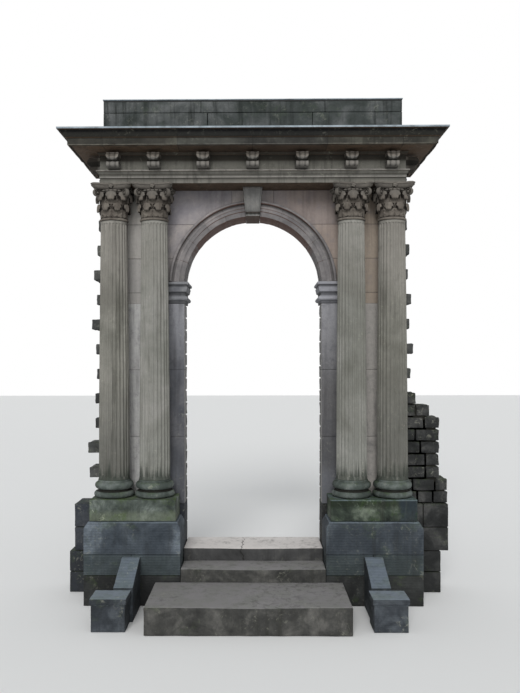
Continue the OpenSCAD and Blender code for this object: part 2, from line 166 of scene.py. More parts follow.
@dataclass
class Patch:
    """A surface in the making.

    points is (n, 3); quads and tris index it; crevice says how deep in a hollow a point lies,
    from 0 on open faces to 1, and the finishes paint shade by it; edge says how sharp an arris it
    lies on, from 0 to 1.
    """

    points: np.ndarray
    quads: np.ndarray
    crevice: np.ndarray
    edge: np.ndarray
    tris: np.ndarray = field(default_factory=lambda: np.zeros((0, 3), int))

    def normals(self) -> np.ndarray:
        """Unit normals: at each point the sum of the normals of the faces around it.

        Returns:
            One unit vector a point, (n, 3).
        """
        p, total = self.points, np.zeros_like(self.points)
        a, b, c, d = (p[corner] for corner in self.quads.T)
        e, f, g = (p[corner] for corner in self.tris.T)
        for faces, normal in ((self.quads, np.cross(c - a, d - b)), (self.tris, np.cross(f - e, g - e))):
            for corner in faces.T:
                np.add.at(total, corner, normal)
        return total / np.maximum(np.linalg.norm(total, axis=1, keepdims=True), 1e-12)

    def volume(self) -> float:
        """Volume: the sum of a sixth of the triple product of each triangle's corners.

        Returns:
            The volume, positive where the faces point outwards.
        """
        corners = np.concatenate([self.quads[:, :3], self.quads[:, [0, 2, 3]], self.tris])
        a, b, c = (self.points[corner] for corner in corners.T)
        return np.einsum("ij,ij->", a, np.cross(b, c)) / 6

    def outward(self) -> "Patch":
        """Turns the faces outwards, if they point inwards.

        Returns:
            The same patch.
        """
        if self.volume() < 0:
            self.quads = self.quads[:, ::-1].copy()
            self.tris = self.tris[:, ::-1].copy()
        return self

    def moved(self, offset: Sequence[float]) -> "Patch":
        """A copy moved by an offset."""
        return replace(self, points=self.points + np.asarray(offset))

    def turned(self, degrees: float) -> "Patch":
        """A copy turned about the Z axis.

        Args:
            degrees: the turn, anticlockwise from above.

        Returns:
            The copy.
        """
        a = math.radians(degrees)
        turn = np.array([[math.cos(a), math.sin(a), 0], [-math.sin(a), math.cos(a), 0], [0, 0, 1]])
        return replace(self, points=self.points @ turn)


def join(patches: Sequence[Patch]) -> Patch:
    """Puts several patches into one.

    Args:
        patches: the patches, left as they are.

    Returns:
        One patch with all their points and faces.
    """
    starts = np.cumsum([0] + [len(p.points) for p in patches[:-1]])
    return Patch(
        np.concatenate([p.points for p in patches]),
        np.concatenate([p.quads + s for p, s in zip(patches, starts)]),
        np.concatenate([p.crevice for p in patches]),
        np.concatenate([p.edge for p in patches]),
        np.concatenate([p.tris + s for p, s in zip(patches, starts)]),
    )


def spread(*parts: np.ndarray) -> np.ndarray:
    """Points from one array an axis, of any shapes that fit each other."""
    return np.stack(np.broadcast_arrays(*parts), axis=-1)


def turns(count: int) -> np.ndarray:
    """Angles of even steps once round."""
    return np.linspace(0, 2 * math.pi, count, endpoint=False)


def ease(value: np.ndarray, start: float, run: float) -> np.ndarray:
    """A value as 0 up to a start and 1 from a run beyond it, straight between."""
    return np.clip((value - start) / run, 0, 1)


def hump(value: np.ndarray, middle: float, width: float) -> np.ndarray:
    """A bell curve, 1 in its middle: e to the minus square of the distance over the width."""
    return np.exp(-(((value - middle) / width) ** 2))


def unit(rows: np.ndarray) -> np.ndarray:
    """Rows of any length above zero, made one long."""
    return rows / np.linalg.norm(rows, axis=1, keepdims=True)


def flanked(face: np.ndarray, left: np.ndarray) -> np.ndarray:
    """Rows of a face between its left flank, from the face to the rear, and that flank's mirror image."""
    return np.concatenate([left[:, ::-1], face, left * np.array([-1, 1, 1])], axis=1)


def value_noise(points: np.ndarray, size: float, seed: int, octaves: int = 3) -> np.ndarray:
    """Smooth noise from 0 to 1.

    Random values sit on a cubic lattice and are blended with a smooth step; each further octave
    has half the size and half the weight.

    Args:
        points: places, (n, 3).
        size: lattice spacing of the first octave in metres.
        seed: picks the random values.
        octaves: how many layers are added.

    Returns:
        One value a point.
    """
    total, weight_sum = np.zeros(len(points)), 0.0
    for octave in range(octaves):
        p = points / (size / 2**octave) + 17.3 * octave
        cell = np.floor(p).astype(np.int64)
        f = p - cell
        f = f * f * (3 - 2 * f)
        value = np.zeros(len(points))
        for corner in range(8):
            d = np.array([corner & 1, corner >> 1 & 1, corner >> 2 & 1])
            key = (cell + d) @ np.array([374761393, 668265263, 1440662683]) + seed * 974634777
            key = (key ^ (key >> 13)) * 1274126177
            key = (key ^ (key >> 16)) & 0xFFFFFF
            value += key / 0xFFFFFF * np.prod(np.where(d, f, 1 - f), axis=1)
        weight = 0.5**octave
        total += weight * value
        weight_sum += weight
    return total / weight_sum


def weather(
    patch: Patch, wear: float, seed: int, size: float = 0.12, chip: float = 0.0, chip_size: float = 0.09
) -> Patch:
    """Wears a patch back along its normals.

    The loss is wear times smooth noise, and on arrises chip times the noise above its upper half.

    Args:
        patch: surface to wear.
        wear: greatest loss on open faces in metres.
        seed: picks the noise.
        size: size of the unevenness in metres.
        chip: greatest loss on an arris in metres.
        chip_size: size of the chips in metres.

    Returns:
        The same patch, worn.
    """
    loss = wear * value_noise(patch.points, size, seed)
    if chip:
        broken = np.clip(value_noise(patch.points, chip_size, seed + 5) - 0.52, 0, 1) / 0.48
        loss = loss + chip * patch.edge * np.minimum(2 * broken, 1)
    patch.points = patch.points - patch.normals() * loss[:, None]
    return patch


def tube(
    points: np.ndarray, crevice: np.ndarray | float = 0.0, edge: np.ndarray | float = 0.0,
    ring: bool = False,
) -> Patch:
    """A closed surface through rows of points, each of which joins its last point to its first.

    Args:
        points: (rows, points of a row, 3).
        crevice, edge: values of the points, or what fits them.
        ring: the last row joins the first; otherwise a fan closes each end.

    Returns:
        The surface.
    """
    nu, nv = points.shape[:2]
    i = np.arange(nu if ring else nu - 1)[:, None]
    j = np.arange(nv)[None, :]
    i1, j1 = (i + 1) % nu, (j + 1) % nv
    quads = np.stack([i * nv + j, i1 * nv + j, i1 * nv + j1, i * nv + j1], axis=-1).reshape(-1, 4)
    flat = points.reshape(-1, 3)
    deep, sharp = (np.broadcast_to(value, (nu, nv)).flatten() for value in (crevice, edge))
    if ring:
        return Patch(flat, quads, deep, sharp).outward()
    first, last = np.arange(nv), (nu - 1) * nv + np.arange(nv)
    middle = np.full(nv, len(flat))
    tris = np.concatenate([
        np.stack([middle, first, np.roll(first, -1)], axis=1),
        np.stack([middle + 1, np.roll(last, -1), last], axis=1),
    ])
    return Patch(
        np.concatenate([flat, [points[0].mean(0), points[-1].mean(0)]]), quads,
        np.concatenate([deep, [deep[0], deep[-1]]]), np.concatenate([sharp, [0, 0]]), tris).outward()


@dataclass(frozen=True)
class Outline:
    """Open outline with rounded corners, its solid on the left of the way it runs.

    points is (n, 2); edge says how far a point lies on an arris and hollow how far it lies in an
    inner corner, both from 0 to 1.
    """

    points: np.ndarray
    edge: np.ndarray
    hollow: np.ndarray

    @classmethod
    def soft(cls, profile: Profile, radius: float) -> "Outline":
        """Cuts each inner corner by three points: one on both of its sides, one pulled in.

        Args:
            profile: points of the outline.
            radius: how far from a corner it is cut in metres.

        Returns:
            The outline with soft corners.
        """
        p = np.asarray(profile, float)
        before, here, after = p[:-2], p[1:-1], p[2:]
        d0, d1 = before - here, after - here
        l0 = np.linalg.norm(d0, axis=1, keepdims=True)
        l1 = np.linalg.norm(d1, axis=1, keepdims=True)
        d0, d1 = d0 / l0, d1 / l1
        cut = np.minimum(radius, 0.35 * np.minimum(l0, l1))
        bend = np.clip(1 + np.sum(d0 * d1, axis=1), 0, 1)
        turn = d0[:, 0] * d1[:, 1] - d0[:, 1] * d1[:, 0]
        rows = np.stack([here + d0 * cut, here + (d0 + d1) * cut * 0.3, here + d1 * cut], axis=1)
        edge, hollow = (
            np.concatenate([[0], np.repeat(bend * way, 3), [0]]) for way in (turn < 0, turn > 0))
        return cls(np.concatenate([p[:1], rows.reshape(-1, 2), p[-1:]]), edge, hollow)


def arc(cx: float, cy: float, r: float, start: float, end: float, n: int) -> list[tuple[float, float]]:
    """Points of an arc.

    Args:
        cx, cy: its centre.
        r: its radius.
        start, end: its first and last angle in degrees.
        n: how many steps it takes.

    Returns:
        The points, one more than the steps.
    """
    return [
        (cx + r * math.cos(math.radians(a)), cy + r * math.sin(math.radians(a)))
        for a in np.linspace(start, end, n + 1)
    ]


def s_curve(x0: float, y0: float, x1: float, y1: float, n: int) -> list[tuple[float, float]]:
    """Points of an S between two corners: a straight line less a sine wave of its height.

    Args:
        x0, y0: first corner.
        x1, y1: last corner.
        n: how many steps it takes.

    Returns:
        The points, one more than the steps.
    """
    return [
        (x0 + (x1 - x0) * t, y0 + (y1 - y0) * (t - 0.13 * math.sin(2 * math.pi * t)))
        for t in np.linspace(0, 1, n + 1)
    ]


def lathe(profile: Profile, segments: int) -> Patch:
    """A turned shape: an outline carried once round the Z axis.

    Args:
        profile: (radius, height) from the foot up.
        segments: points of each round.

    Returns:
        The closed shape.
    """
    o = Outline.soft(profile, ARRIS / 2)
    a, r, z = turns(segments), o.points[:, :1], o.points[:, 1:]
    # Inner corners get crevice, which the finishes paint as shade.
    return tube(spread(r * np.cos(a), r * np.sin(a), z), o.hollow[:, None], o.edge[:, None])


def moulded_ring(
    profile: Profile, span: Span, out: float = 0.0, z: float | None = None, radius: float = ARRIS
) -> Patch:
    """A moulding with mitred corners round a rectangle.

    Each outline point (out, up) gives a rectangle that is larger by out on every side, and every
    rectangle is walked by the same shares of its sides.

    Args:
        profile: (out, up) from the bottom to the top.
        span: what the moulding fills in plan.
        out: how far the moulding stands out from the rectangle.
        z: level of the outline's zero, where it isn't the bottom of the span.
        radius: softening of the arrises.

    Returns:
        The closed moulding.
    """
    o = Outline.soft(profile, radius)
    y0, y1, half_x = span.y0 + out, span.y1 - out, span.half_x - out
    mid_y, half_y = (y0 + y1) / 2, (y1 - y0) / 2
    step, near = 0.04, 0.9985
    walks = []
    for half, start, end in (
        (half_x, (-1, -1), (1, -1)), (half_y, (1, -1), (1, 1)),
        (half_x, (1, 1), (-1, 1)), (half_y, (-1, 1), (-1, -1)),
    ):
        s = np.concatenate([[-1, -near], np.linspace(-1, 1, max(int(2 * half / step), 3))[1:-1], [near]])
        t = ((s + 1) / 2)[:, None]
        walks.append(np.array([start]) * (1 - t) + np.array([end]) * t)
    walk = np.concatenate(walks)
    wider, up = o.points[:, :1], o.points[:, 1:]
    x = span.mid_x + walk[None, :, 0] * (half_x + wider)
    y = mid_y + walk[None, :, 1] * (half_y + wider)
    level = span.z0 if z is None else z
    # Inner corners get crevice, which the finishes paint as shade.
    return tube(spread(x, y, level + up), o.hollow[:, None], o.edge[:, None])


def box_template(nx: int, ny: int, nz: int) -> tuple[np.ndarray, np.ndarray]:
    """Skin of a lattice cube.

    Args:
        nx, ny, nz: lattice lines along each axis.

    Returns:
        Lattice indices of the skin's points, (n, 3), and the quads between them.
    """
    index = np.stack(np.meshgrid(np.arange(nx), np.arange(ny), np.arange(nz), indexing="ij"), -1)
    size = np.array([nx, ny, nz])
    skin = np.any((index == 0) | (index == size - 1), axis=-1)
    number = np.full(skin.shape, -1)
    number[skin] = np.arange(skin.sum())
    quads = []
    for axis, end in ((0, 0), (0, -1), (1, 0), (1, -1), (2, 0), (2, -1)):
        face = np.take(number, end, axis=axis)
        a, b, c, d = face[:-1, :-1], face[1:, :-1], face[1:, 1:], face[:-1, 1:]
        turn = (end == -1) != (axis == 1)
        order = (a, b, c, d) if turn else (a, d, c, b)
        quads.append(np.stack(order, axis=-1).reshape(-1, 4))
    return index[skin], np.concatenate(quads)


def many(points: np.ndarray, quads: np.ndarray, crevice: np.ndarray, edge: np.ndarray) -> Patch:
    """Copies of one skin with different points.

    Args:
        points: (copies, points of a skin, 3).
        quads: the faces of the first copy.
        crevice, edge: values of all the points, copy by copy.

    Returns:
        The copies as one patch.
    """
    starts = (np.arange(len(points)) * points.shape[1])[:, None, None]
    return Patch(points.reshape(-1, 3), (quads[None] + starts).reshape(-1, 4), crevice, edge).outward()


def stones(
    boxes: np.ndarray, bevel: float, wear: float, seed: int, lines: tuple[int, int, int] = (6, 4, 6),
    size: float = 0.1, jitter: float = 0.0,
) -> Patch:
    """Many rounded stones, each from the skin of a lattice cube.

    Each lattice line lies at an edge, one bevel in from it, or evenly between. A point in the
    outer band is drawn onto a quarter round of the bevel's radius, then smooth noise wears it.

    Args:
        boxes: (n, 6) rows of x0, x1, y0, y1, z0, z1.
        bevel: radius of the edges in metres.
        wear: greatest loss of the faces in metres.
        seed: picks the noise.
        lines: lattice lines along each axis.
        size: size of the unevenness in metres.
        jitter: greatest extra setback of a whole stone's front and rear in metres.

    Returns:
        All the stones as one patch.
    """
    index, quads = box_template(*lines)
    boxes = np.asarray(boxes, float).reshape(-1, 6)
    low, high = boxes[:, 0::2], boxes[:, 1::2]
    rng = np.random.default_rng(seed)
    if jitter:
        back = rng.uniform(0, jitter, (len(boxes), 2))
        low, high = low.copy(), high.copy()
        low[:, 1] += back[:, 0]
        high[:, 1] -= back[:, 1]
    mid, half = (low + high) / 2, (high - low) / 2
    radius = np.minimum(bevel, 0.4 * half.min(axis=1, keepdims=True)) * np.ones((1, 3))
    share = np.empty((len(boxes), len(index), 3))
    for axis in range(3):
        reach = half[:, axis][:, None]
        inner = reach - radius[:, axis][:, None]
        spots = np.concatenate([-reach, inner * np.linspace(-1, 1, lines[axis] - 2), reach], axis=1)
        share[:, :, axis] = spots[:, index[:, axis]]
    inner = (half - radius)[:, None, :]
    core = np.clip(share, -inner, inner)
    out = share - core
    normal = out / np.maximum(np.linalg.norm(out, axis=2, keepdims=True), 1e-9)
    points = mid[:, None, :] + core + normal * radius[:, None, :]
    arris = ((np.abs(out) > 1e-9).sum(axis=2) > 1).ravel() * 1.0
    shift = np.repeat(rng.uniform(-40, 40, (len(boxes), 3)), len(index), axis=0)
    loss = wear * value_noise(points.reshape(-1, 3) + shift, size, seed)
    return many(points - normal * loss.reshape(*points.shape[:2], 1), quads, arris * 0.45, arris)


def coursed(
    x0: float, x1: float, z0: float, z1: float, rise: float, length: float, seed: int,
    uneven: float = 0.3,
) -> np.ndarray:
    """Stones of a wall face in courses.

    Args:
        x0, x1, z0, z1: the face.
        rise: height of a course, fitted to the face.
        length: usual length of a stone.
        seed: picks the lengths.
        uneven: how much the lengths vary, as a share.

    Returns:
        (n, 4) rows of x0, x1, z0, z1.
    """
    rng = np.random.default_rng(seed)
    rows = max(int(round((z1 - z0) / rise)), 1)
    levels = np.linspace(z0, z1, rows + 1)
    out = []
    for k in range(rows):
        count = max(int(round((x1 - x0) / length)), 1)
        cuts = np.linspace(0, 1, count + 1)
        if count > 1:
            cuts[1:-1] += rng.uniform(-uneven, uneven, count - 1) / count
        for a, b in zip(cuts[:-1], cuts[1:]):
            out.append((x0 + (x1 - x0) * a, x0 + (x1 - x0) * b, levels[k], levels[k + 1]))
    return np.array(out)


def in_depth(faces: np.ndarray, y0: float, y1: float) -> np.ndarray:
    """Gives faces a depth.

    Args:
        faces: (n, 4) rows of x0, x1, z0, z1.
        y0, y1: front and rear of all of them.

    Returns:
        (n, 6) rows for stones().
    """
    depth = np.full((len(faces), 2), (y0, y1))
    return np.concatenate([faces[:, :2], depth, faces[:, 2:]], axis=1)


def mirrored(faces: np.ndarray, side: Side) -> np.ndarray:
    """Faces laid out on the right, as they are on a side.

    Args:
        faces: (n, 4) rows of x0, x1, z0, z1.
        side: the side that they are for.

    Returns:
        The rows, with x0 and x1 swapped and their signs changed on the left.
    """
    if side is Side.LEFT:
        faces[:, [0, 1]] = -faces[:, [1, 0]]
    return faces


def mortar(boxes: np.ndarray, inset: float = 0.03) -> Patch:
    """Filling behind open joints, painted in full shade: plain blocks, drawn in on every side.

    Args:
        boxes: (n, 6) rows of x0, x1, y0, y1, z0, z1 that the stones fill.
        inset: how far the blocks lie inside them in metres.

    Returns:
        The blocks as one patch.
    """
    index, quads = box_template(2, 2, 2)
    low, high = boxes[:, None, 0::2] + inset, boxes[:, None, 1::2] - inset
    count = len(boxes) * len(index)
    # Crevice 1 on every point paints the blocks in full shade.
    return many(low + (high - low) * index[None], quads, np.ones(count), np.zeros(count))


# Finishes


class Tree:
    """Node tree of a material or a world."""

    def __init__(self, owner: bpy.types.Material | bpy.types.World) -> None:
        """Starts an empty tree.

        Args:
            owner: the material or world.
        """
        owner.use_nodes = True
        self.tree = owner.node_tree
        self.tree.nodes.clear()

    def add(
        self, kind: str, inputs: dict[int | str, object] | None = None, **settings: object
    ) -> bpy.types.Node:
        """Adds a node.

        Args:
            kind: type of the node, without its prefix.
            inputs: what each input, by number or name, is linked to or set to.
            settings: plain settings of the node.

        Returns:
            The node.
        """
        node = self.tree.nodes.new(f"ShaderNode{kind}")
        for key, value in settings.items():
            setattr(node, key, value)
        for key, value in (inputs or {}).items():
            self.feed(node.inputs[key], value)
        return node

    def feed(self, target: Socket, value: object) -> None:
        """Links a socket, or sets its value; a colour of three gets an alpha of one.

        Args:
            target: the input.
            value: an output, or a plain value.
        """
        if isinstance(value, Socket):
            self.tree.links.new(value, target)
        elif isinstance(value, tuple) and len(value) == 3 and target.type == "RGBA":
            target.default_value = (*value, 1)
        else:
            target.default_value = value

    def math(self, operation: str, a: object, b: object = 0.0) -> Socket:
        """Result of one Math node."""
        return self.add("Math", {0: a, 1: b}, operation=operation).outputs[0]


class Graph(Tree):
    """Node tree of one material, with short calls for its nodes.

    color and normal are what the layers have made so far; facing holds the normal's three parts.
    """

    def __init__(self, name: str) -> None:
        """Starts a tree with a Principled shader and what the layers measure by.

        Args:
            name: name of the material.
        """
        self.material = bpy.data.materials.new(name)
        super().__init__(self.material)
        self.shader = self.add("BsdfPrincipled")
        self.add("OutputMaterial", {"Surface": self.shader.outputs[0]})
        self.place = self.add("TexCoord").outputs["Object"]
        self.x, self.y, self.z = self.add("SeparateXYZ", {0: self.place}).outputs
        self.facing = self.add("SeparateXYZ", {0: self.add("NewGeometry").outputs["Normal"]}).outputs
        self.crevice = self.add("Attribute", attribute_name="crevice").outputs["Fac"]
        self.color: Socket | None = None
        self.normal: Socket | None = None

    def times(self, a: object, b: object) -> Socket:
        """Product of two values."""
        return self.math("MULTIPLY", a, b)

    def plus(self, a: object, b: object) -> Socket:
        """Sum of two values."""
        return self.math("ADD", a, b)

    def size(self, a: object) -> Socket:
        """A value without its sign."""
        return self.math("ABSOLUTE", a)

    def swing(self, noise: Socket, reach: float) -> Socket:
        """Noise less its mean, times a reach."""
        return self.times(self.math("SUBTRACT", noise, 0.5), reach)

    def mix(self, amount: object, a: object, b: object, blend: str = "MIX") -> Socket:
        """Two colours mixed by an amount."""
        inputs = {0: amount, 6: a, 7: b}
        return self.add("Mix", inputs, data_type="RGBA", blend_type=blend).outputs[2]

    def stretched(self, scale: tuple[float, float, float], shift: float = 0.0) -> Socket:
        """Object coordinates scaled along each axis, and shifted."""
        inputs = {"Vector": self.place, "Scale": scale, "Location": (shift, shift, shift)}
        return self.add("Mapping", inputs).outputs[0]

    def noise(
        self, scale: float, detail: float = 5, rough: float = 0.6, vector: Socket | None = None,
        bend: float = 0.0,
    ) -> Socket:
        """Noise from 0 to 1.

        Args:
            scale: its scale over a metre.
            detail, rough, bend: the node's Detail, Roughness and Distortion.
            vector: where it is read, instead of the object coordinates.

        Returns:
            The noise.
        """
        return self.add("TexNoise", {
            "Vector": vector or self.place, "Scale": scale, "Detail": detail, "Roughness": rough,
            "Distortion": bend}).outputs[0]

    def band(self, value: object, low: float, high: float) -> Socket:
        """A value spread from 0 at low to 1 at high, with a smooth step."""
        inputs = {0: value, 1: low, 2: high}
        return self.add("MapRange", inputs, interpolation_type="SMOOTHSTEP").outputs[0]

    def ramp(self, value: object, *stops: tuple[float, Color]) -> Socket:
        """Colour picked along a ramp.

        Args:
            value: where on the ramp.
            stops: place and colour of each mark.

        Returns:
            The colour.
        """
        node = self.add("ValToRGB", {0: value})
        marks = node.color_ramp.elements
        while len(marks) < len(stops):
            marks.new(0.5)
        for mark, (at, color) in zip(marks, stops):
            mark.position = at
            mark.color = (*color, 1)
        return node.outputs[0]

    def lay(self, shade: object, amount: object, weight: float) -> None:
        """Lays a shade, as display values or a socket, over the colour by an amount times a weight."""
        over = shade if isinstance(shade, Socket) else tone(*shade)
        self.color = self.mix(self.times(amount, weight), self.color, over)

    def bump(self, height: object, strength: float, distance: float) -> None:
        """Bends the normal by a height, on top of earlier bends.

        Args:
            height: the height.
            strength, distance: the node's Strength and Distance.
        """
        inputs = {"Strength": strength, "Distance": distance, "Height": height}
        if self.normal:
            inputs["Normal"] = self.normal
        self.normal = self.add("Bump", inputs).outputs[0]

    def carve(self, line: Socket, shade: Display, weight: float) -> None:
        """Sinks a line that is 1 in its middle, and shades it."""
        self.lay(shade, line, weight)
        self.bump(self.math("SUBTRACT", 1.0, line), 0.8, 0.006)

    def close(self, rough: Socket, fixed: dict[str, float]) -> bpy.types.Material:
        """Joins what the layers made to the shader.

        Args:
            rough: the roughness.
            fixed: values of the shader's other inputs.

        Returns:
            The finished material.
        """
        coat = {"Base Color": self.color, "Roughness": rough, "Normal": self.normal}
        for key, value in (coat | fixed).items():
            self.feed(self.shader.inputs[key], value)
        return self.material


@dataclass(frozen=True)
class Joints:
    """Straight joints of coursed stone that are part of the finish."""

    length: float
    rise: float
    bed: float
    upright: float
    line: float = 0.005
    shade: Display = (52, 50, 46)


class Across(Enum):
    """What a zone of a finish is measured along."""

    HEIGHT = 0
    SPREAD = 1
    SIDE = 2


HEIGHT, SPREAD, SIDE = Across


@dataclass(frozen=True)
class Zone:
    """Part of a stone that another tone takes over.

    The tone grows from start to full along the height, along the distance from the middle of the
    archway, or from left to right; full may lie below start. ragged is how far the border
    wanders, and drips how far it follows upright streaks, in metres.
    """

    along: Across
    start: float
    full: float
    shade: Display
    amount: float = 0.85
    ragged: float = 0.12
    drips: float = 0.0


@dataclass(frozen=True)
class Stone:
    """Weathered stone.

    slot names a material slot, which is not used; tones are the dark, middle and light colour, all
    colours as display values; the other values say how strongly each kind of weathering shows, from 0
    to about 1.
    """

    name: str
    slot: str
    tones: tuple[Display, Display, Display]
    patch: float = 1.6
    mottle: float = 0.35
    streak: float = 0.25
    streak_tone: Display = (34, 34, 30)
    lichen: float = 0.2
    lichen_tone: Display = (176, 176, 160)
    moss: float = 0.0
    moss_tone: Display = (84, 104, 58)
    # top paints light on upward faces, under a brownish shade on downward faces, reveal light on the
    # archway's sides.
    top: Display | None = None
    under: Display | None = None
    under_from: float = 0.75
    reveal: Display | None = None
    rear: Display | None = None
    crack: float | None = None
    zones: tuple[Zone, ...] = ()
    tooling: float = 0.0
    # crevice weighs crevice_tone, laid as painted shade in hollows.
    crevice: float = 0.8
    crevice_tone: Display = (26, 25, 21)
    grain: float = 0.5
    rough: float = 0.86
    shine: float = 0.22
    joints: Joints | None = None

    def build(self) -> bpy.types.Material:
        """Builds the material layer by layer.

        Returns:
            The finished material.
        """
        g = Graph(f"{self.name}_stone")
        fine = g.noise(31, 8, 0.72)
        self._ground(g, fine)
        self._sides(g)
        self._growth(g)
        self._relief(g, fine)
        if self.joints:
            self._coursing(g)
        if self.crack is not None:
            wander = g.swing(g.noise(3.2, 6, 0.75), 0.22)
            off = g.size(g.plus(g.math("SUBTRACT", g.x, self.crack), wander))
            g.carve(g.band(off, 0.0075, 0.0025), self.crevice_tone, 0.8)
        return g.close(g.plus(self.rough - 0.08, g.times(fine, 0.16)), {"Specular IOR Level": self.shine})

    def _ground(self, g: Graph, fine: Socket) -> None:
        """Patches of the three tones, the zones, mottling and dark patches.

        Args:
            g: the tree.
            fine: fine noise.
        """
        stops = zip((0.34, 0.5, 0.66), (tone(*shade) for shade in self.tones))
        g.color = g.ramp(g.noise(self.patch, 6, 0.62, bend=0.4), *stops)
        along = {HEIGHT: g.z, SPREAD: g.size(g.x), SIDE: g.x}
        for zone in self.zones:
            wander = g.swing(g.noise(3.4, 6, 0.7), 2 * zone.ragged)
            if zone.drips:
                runs = g.noise(1, 4, 0.6, g.stretched((21, 21, 0.6)))
                wander = g.plus(wander, g.swing(runs, 2 * zone.drips))
            amount = g.band(g.plus(along[zone.along], wander), zone.start, zone.full)
            g.lay(zone.shade, amount, zone.amount)
        grey = g.ramp(fine, (0.3, (0.55, 0.55, 0.55)), (0.5, (1, 1, 1)), (0.72, (1.45, 1.42, 1.36)))
        g.color = g.mix(self.mottle, g.color, grey, "MULTIPLY")
        g.lay(self.tones[0], g.band(g.noise(6.5, 7, 0.7), 0.5, 0.72), 0.45)

    def _sides(self, g: Graph) -> None:
        """Painted light on faces that look up and on those that line the archway, painted shade on faces
        that look down, and the tone of faces that look to the rear.

        Args:
            g: the tree.
        """
        aside, behind, up = g.facing
        if self.top:
            g.lay(self.top, g.band(up, 0.55, 0.9), 0.9)
        if self.under:
            g.lay(self.under, g.band(g.times(up, -1), self.under_from, self.under_from + 0.2), 0.92)
        if self.reveal:
            inside = g.band(g.size(g.x), 1.3, 1.1)
            g.lay(self.reveal, g.times(g.band(g.size(aside), 0.7, 0.9), inside), 0.8)
        if self.rear:
            g.lay(self.rear, g.band(behind, 0.7, 0.9), 0.9)

    def _growth(self, g: Graph) -> None:
        """Dark and pale runs, moss and lichen.

        Args:
            g: the tree.
        """
        if self.streak:
            runs = g.band(g.noise(1, 5, 0.66, g.stretched((13, 13, 0.9)), 0.3), 0.47, 0.7)
            g.lay(self.streak_tone, g.times(runs, g.band(g.noise(1.1, 3, 0.5), 0.3, 0.62)), self.streak)
            pale = g.band(g.noise(1, 4, 0.6, g.stretched((17, 17, 1.3), 3.7)), 0.58, 0.78)
            g.lay(self.tones[2], pale, 0.4 * self.streak)
        if self.moss:
            seat = g.plus(g.noise(4.6, 7, 0.72), g.times(g.facing[2], 0.12))
            lit = tone(*self.moss_tone)
            green = g.ramp(g.noise(44, 5, 0.7), (0.3, tuple(0.5 * c for c in lit)), (0.7, lit))
            g.lay(green, g.band(seat, 0.56 - 0.1 * self.moss, 0.7), min(0.9, self.moss))
        if self.lichen:
            crust = g.band(g.noise(17, 9, 0.78, bend=0.6), 0.55, 0.63)
            where = g.band(g.noise(2.3, 4, 0.6), 0.42, 0.62)
            g.lay(self.lichen_tone, g.times(crust, where), self.lichen)

    def _relief(self, g: Graph, fine: Socket) -> None:
        """Painted shade in hollows, grain, pits and tool marks.

        Args:
            g: the tree.
            fine: fine noise.
        """
        # Painted shade in hollows, by the crevice attribute, with a ragged border.
        hollow_shade = g.band(g.plus(g.crevice, g.swing(fine, 0.35)), 0.12, 0.85)
        g.lay(self.crevice_tone, hollow_shade, self.crevice)
        grain = g.plus(g.times(g.noise(11, 8, 0.68), 0.9), g.times(fine, 0.5))
        g.bump(grain, 0.55 * self.grain, 0.02)
        g.bump(g.band(g.noise(120, 3, 0.6), 0.3, 0.48), 0.35 * self.grain, 0.004)
        if self.tooling:
            marks = g.add(
                "TexWave",
                {"Vector": g.place, "Scale": 16, "Distortion": 2.2, "Detail": 3, "Detail Scale": 3},
                wave_type="BANDS", bands_direction="Z", wave_profile="SIN").outputs[1]
            g.bump(marks, 0.5 * self.tooling, 0.004)
            g.lay(self.tones[0], marks, 0.22 * self.tooling)

    def _coursing(self, g: Graph) -> None:
        """The straight joints, laid along X on the front and along Y on the ends.

        Args:
            g: the tree.
        """
        j = self.joints
        side_on = g.band(g.size(g.facing[0]), 0.6, 0.8)
        brick = g.add("TexBrick", {
            "Vector": g.mix(side_on, self._split(g, g.size(g.x)), self._split(g, g.y)), "Scale": 1,
            "Mortar Size": j.line, "Mortar Smooth": 0.3, "Brick Width": j.length, "Row Height": j.rise,
            "Color1": (0.84, 0.85, 0.88), "Color2": (1.14, 1.12, 1.06), "Mortar": (1, 1, 1)},
            offset=0.5, squash=1.0)
        g.color = g.mix(1.0, g.color, brick.outputs["Color"], "MULTIPLY")
        g.carve(brick.outputs["Fac"], j.shade, 0.75)

    def _split(self, g: Graph, across: Socket) -> Socket:
        """Place in the pattern of joints: distances from the stated joints, forty stones further on.

        Args:
            g: the tree.
            across: distance along the face.

        Returns:
            The place as a vector.
        """
        j, before = self.joints, 40
        return g.add("CombineXYZ", {
            0: g.math("SUBTRACT", across, j.upright - before * j.length),
            1: g.math("SUBTRACT", g.z, j.bed - before * j.rise)}).outputs[0]


@dataclass(frozen=True)
class SheetMetal:
    """Dull weathered sheet metal with pale bloom, runs of dirt and dents."""

    name: str
    slot: str
    base: Display
    bloom: Display
    dirt: Display

    def build(self) -> bpy.types.Material:
        """Builds the material: bloom in patches, runs of dirt, spots, painted shade in hollows and dents.

        Returns:
            The finished material.
        """
        g = Graph(f"cover_{self.name}")
        g.color = g.ramp(g.noise(3.2, 6, 0.65), (0.35, tone(*self.base)), (0.6, tone(*self.bloom)))
        g.lay(self.dirt, g.band(g.noise(1, 5, 0.6, g.stretched((9, 1.2, 9))), 0.5, 0.7), 0.55)
        g.lay(self.bloom, g.band(g.noise(38, 5, 0.7), 0.6, 0.74), 0.4)
        # Painted shade in hollows, by the crevice attribute.
        g.color = g.mix(g.crevice, g.color, tone(14, 16, 17))
        g.bump(g.noise(5, 3, 0.5), 0.3, 0.02)
        return g.close(g.plus(0.48, g.times(g.noise(14), 0.25)), {"Metallic": 0.25})


# Brown painted shade for faces that look down under the cornice and the architrave.
UNDERSIDE_SHADE = (72, 57, 45)
BROKEN_END = Zone(SPREAD, 1.84, 1.88, (62, 62, 60), 0.9, 0.03)
MOSS_FOOT = Zone(HEIGHT, 1.72, 1.52, (46, 52, 46), 0.88, 0.12, 0.3)
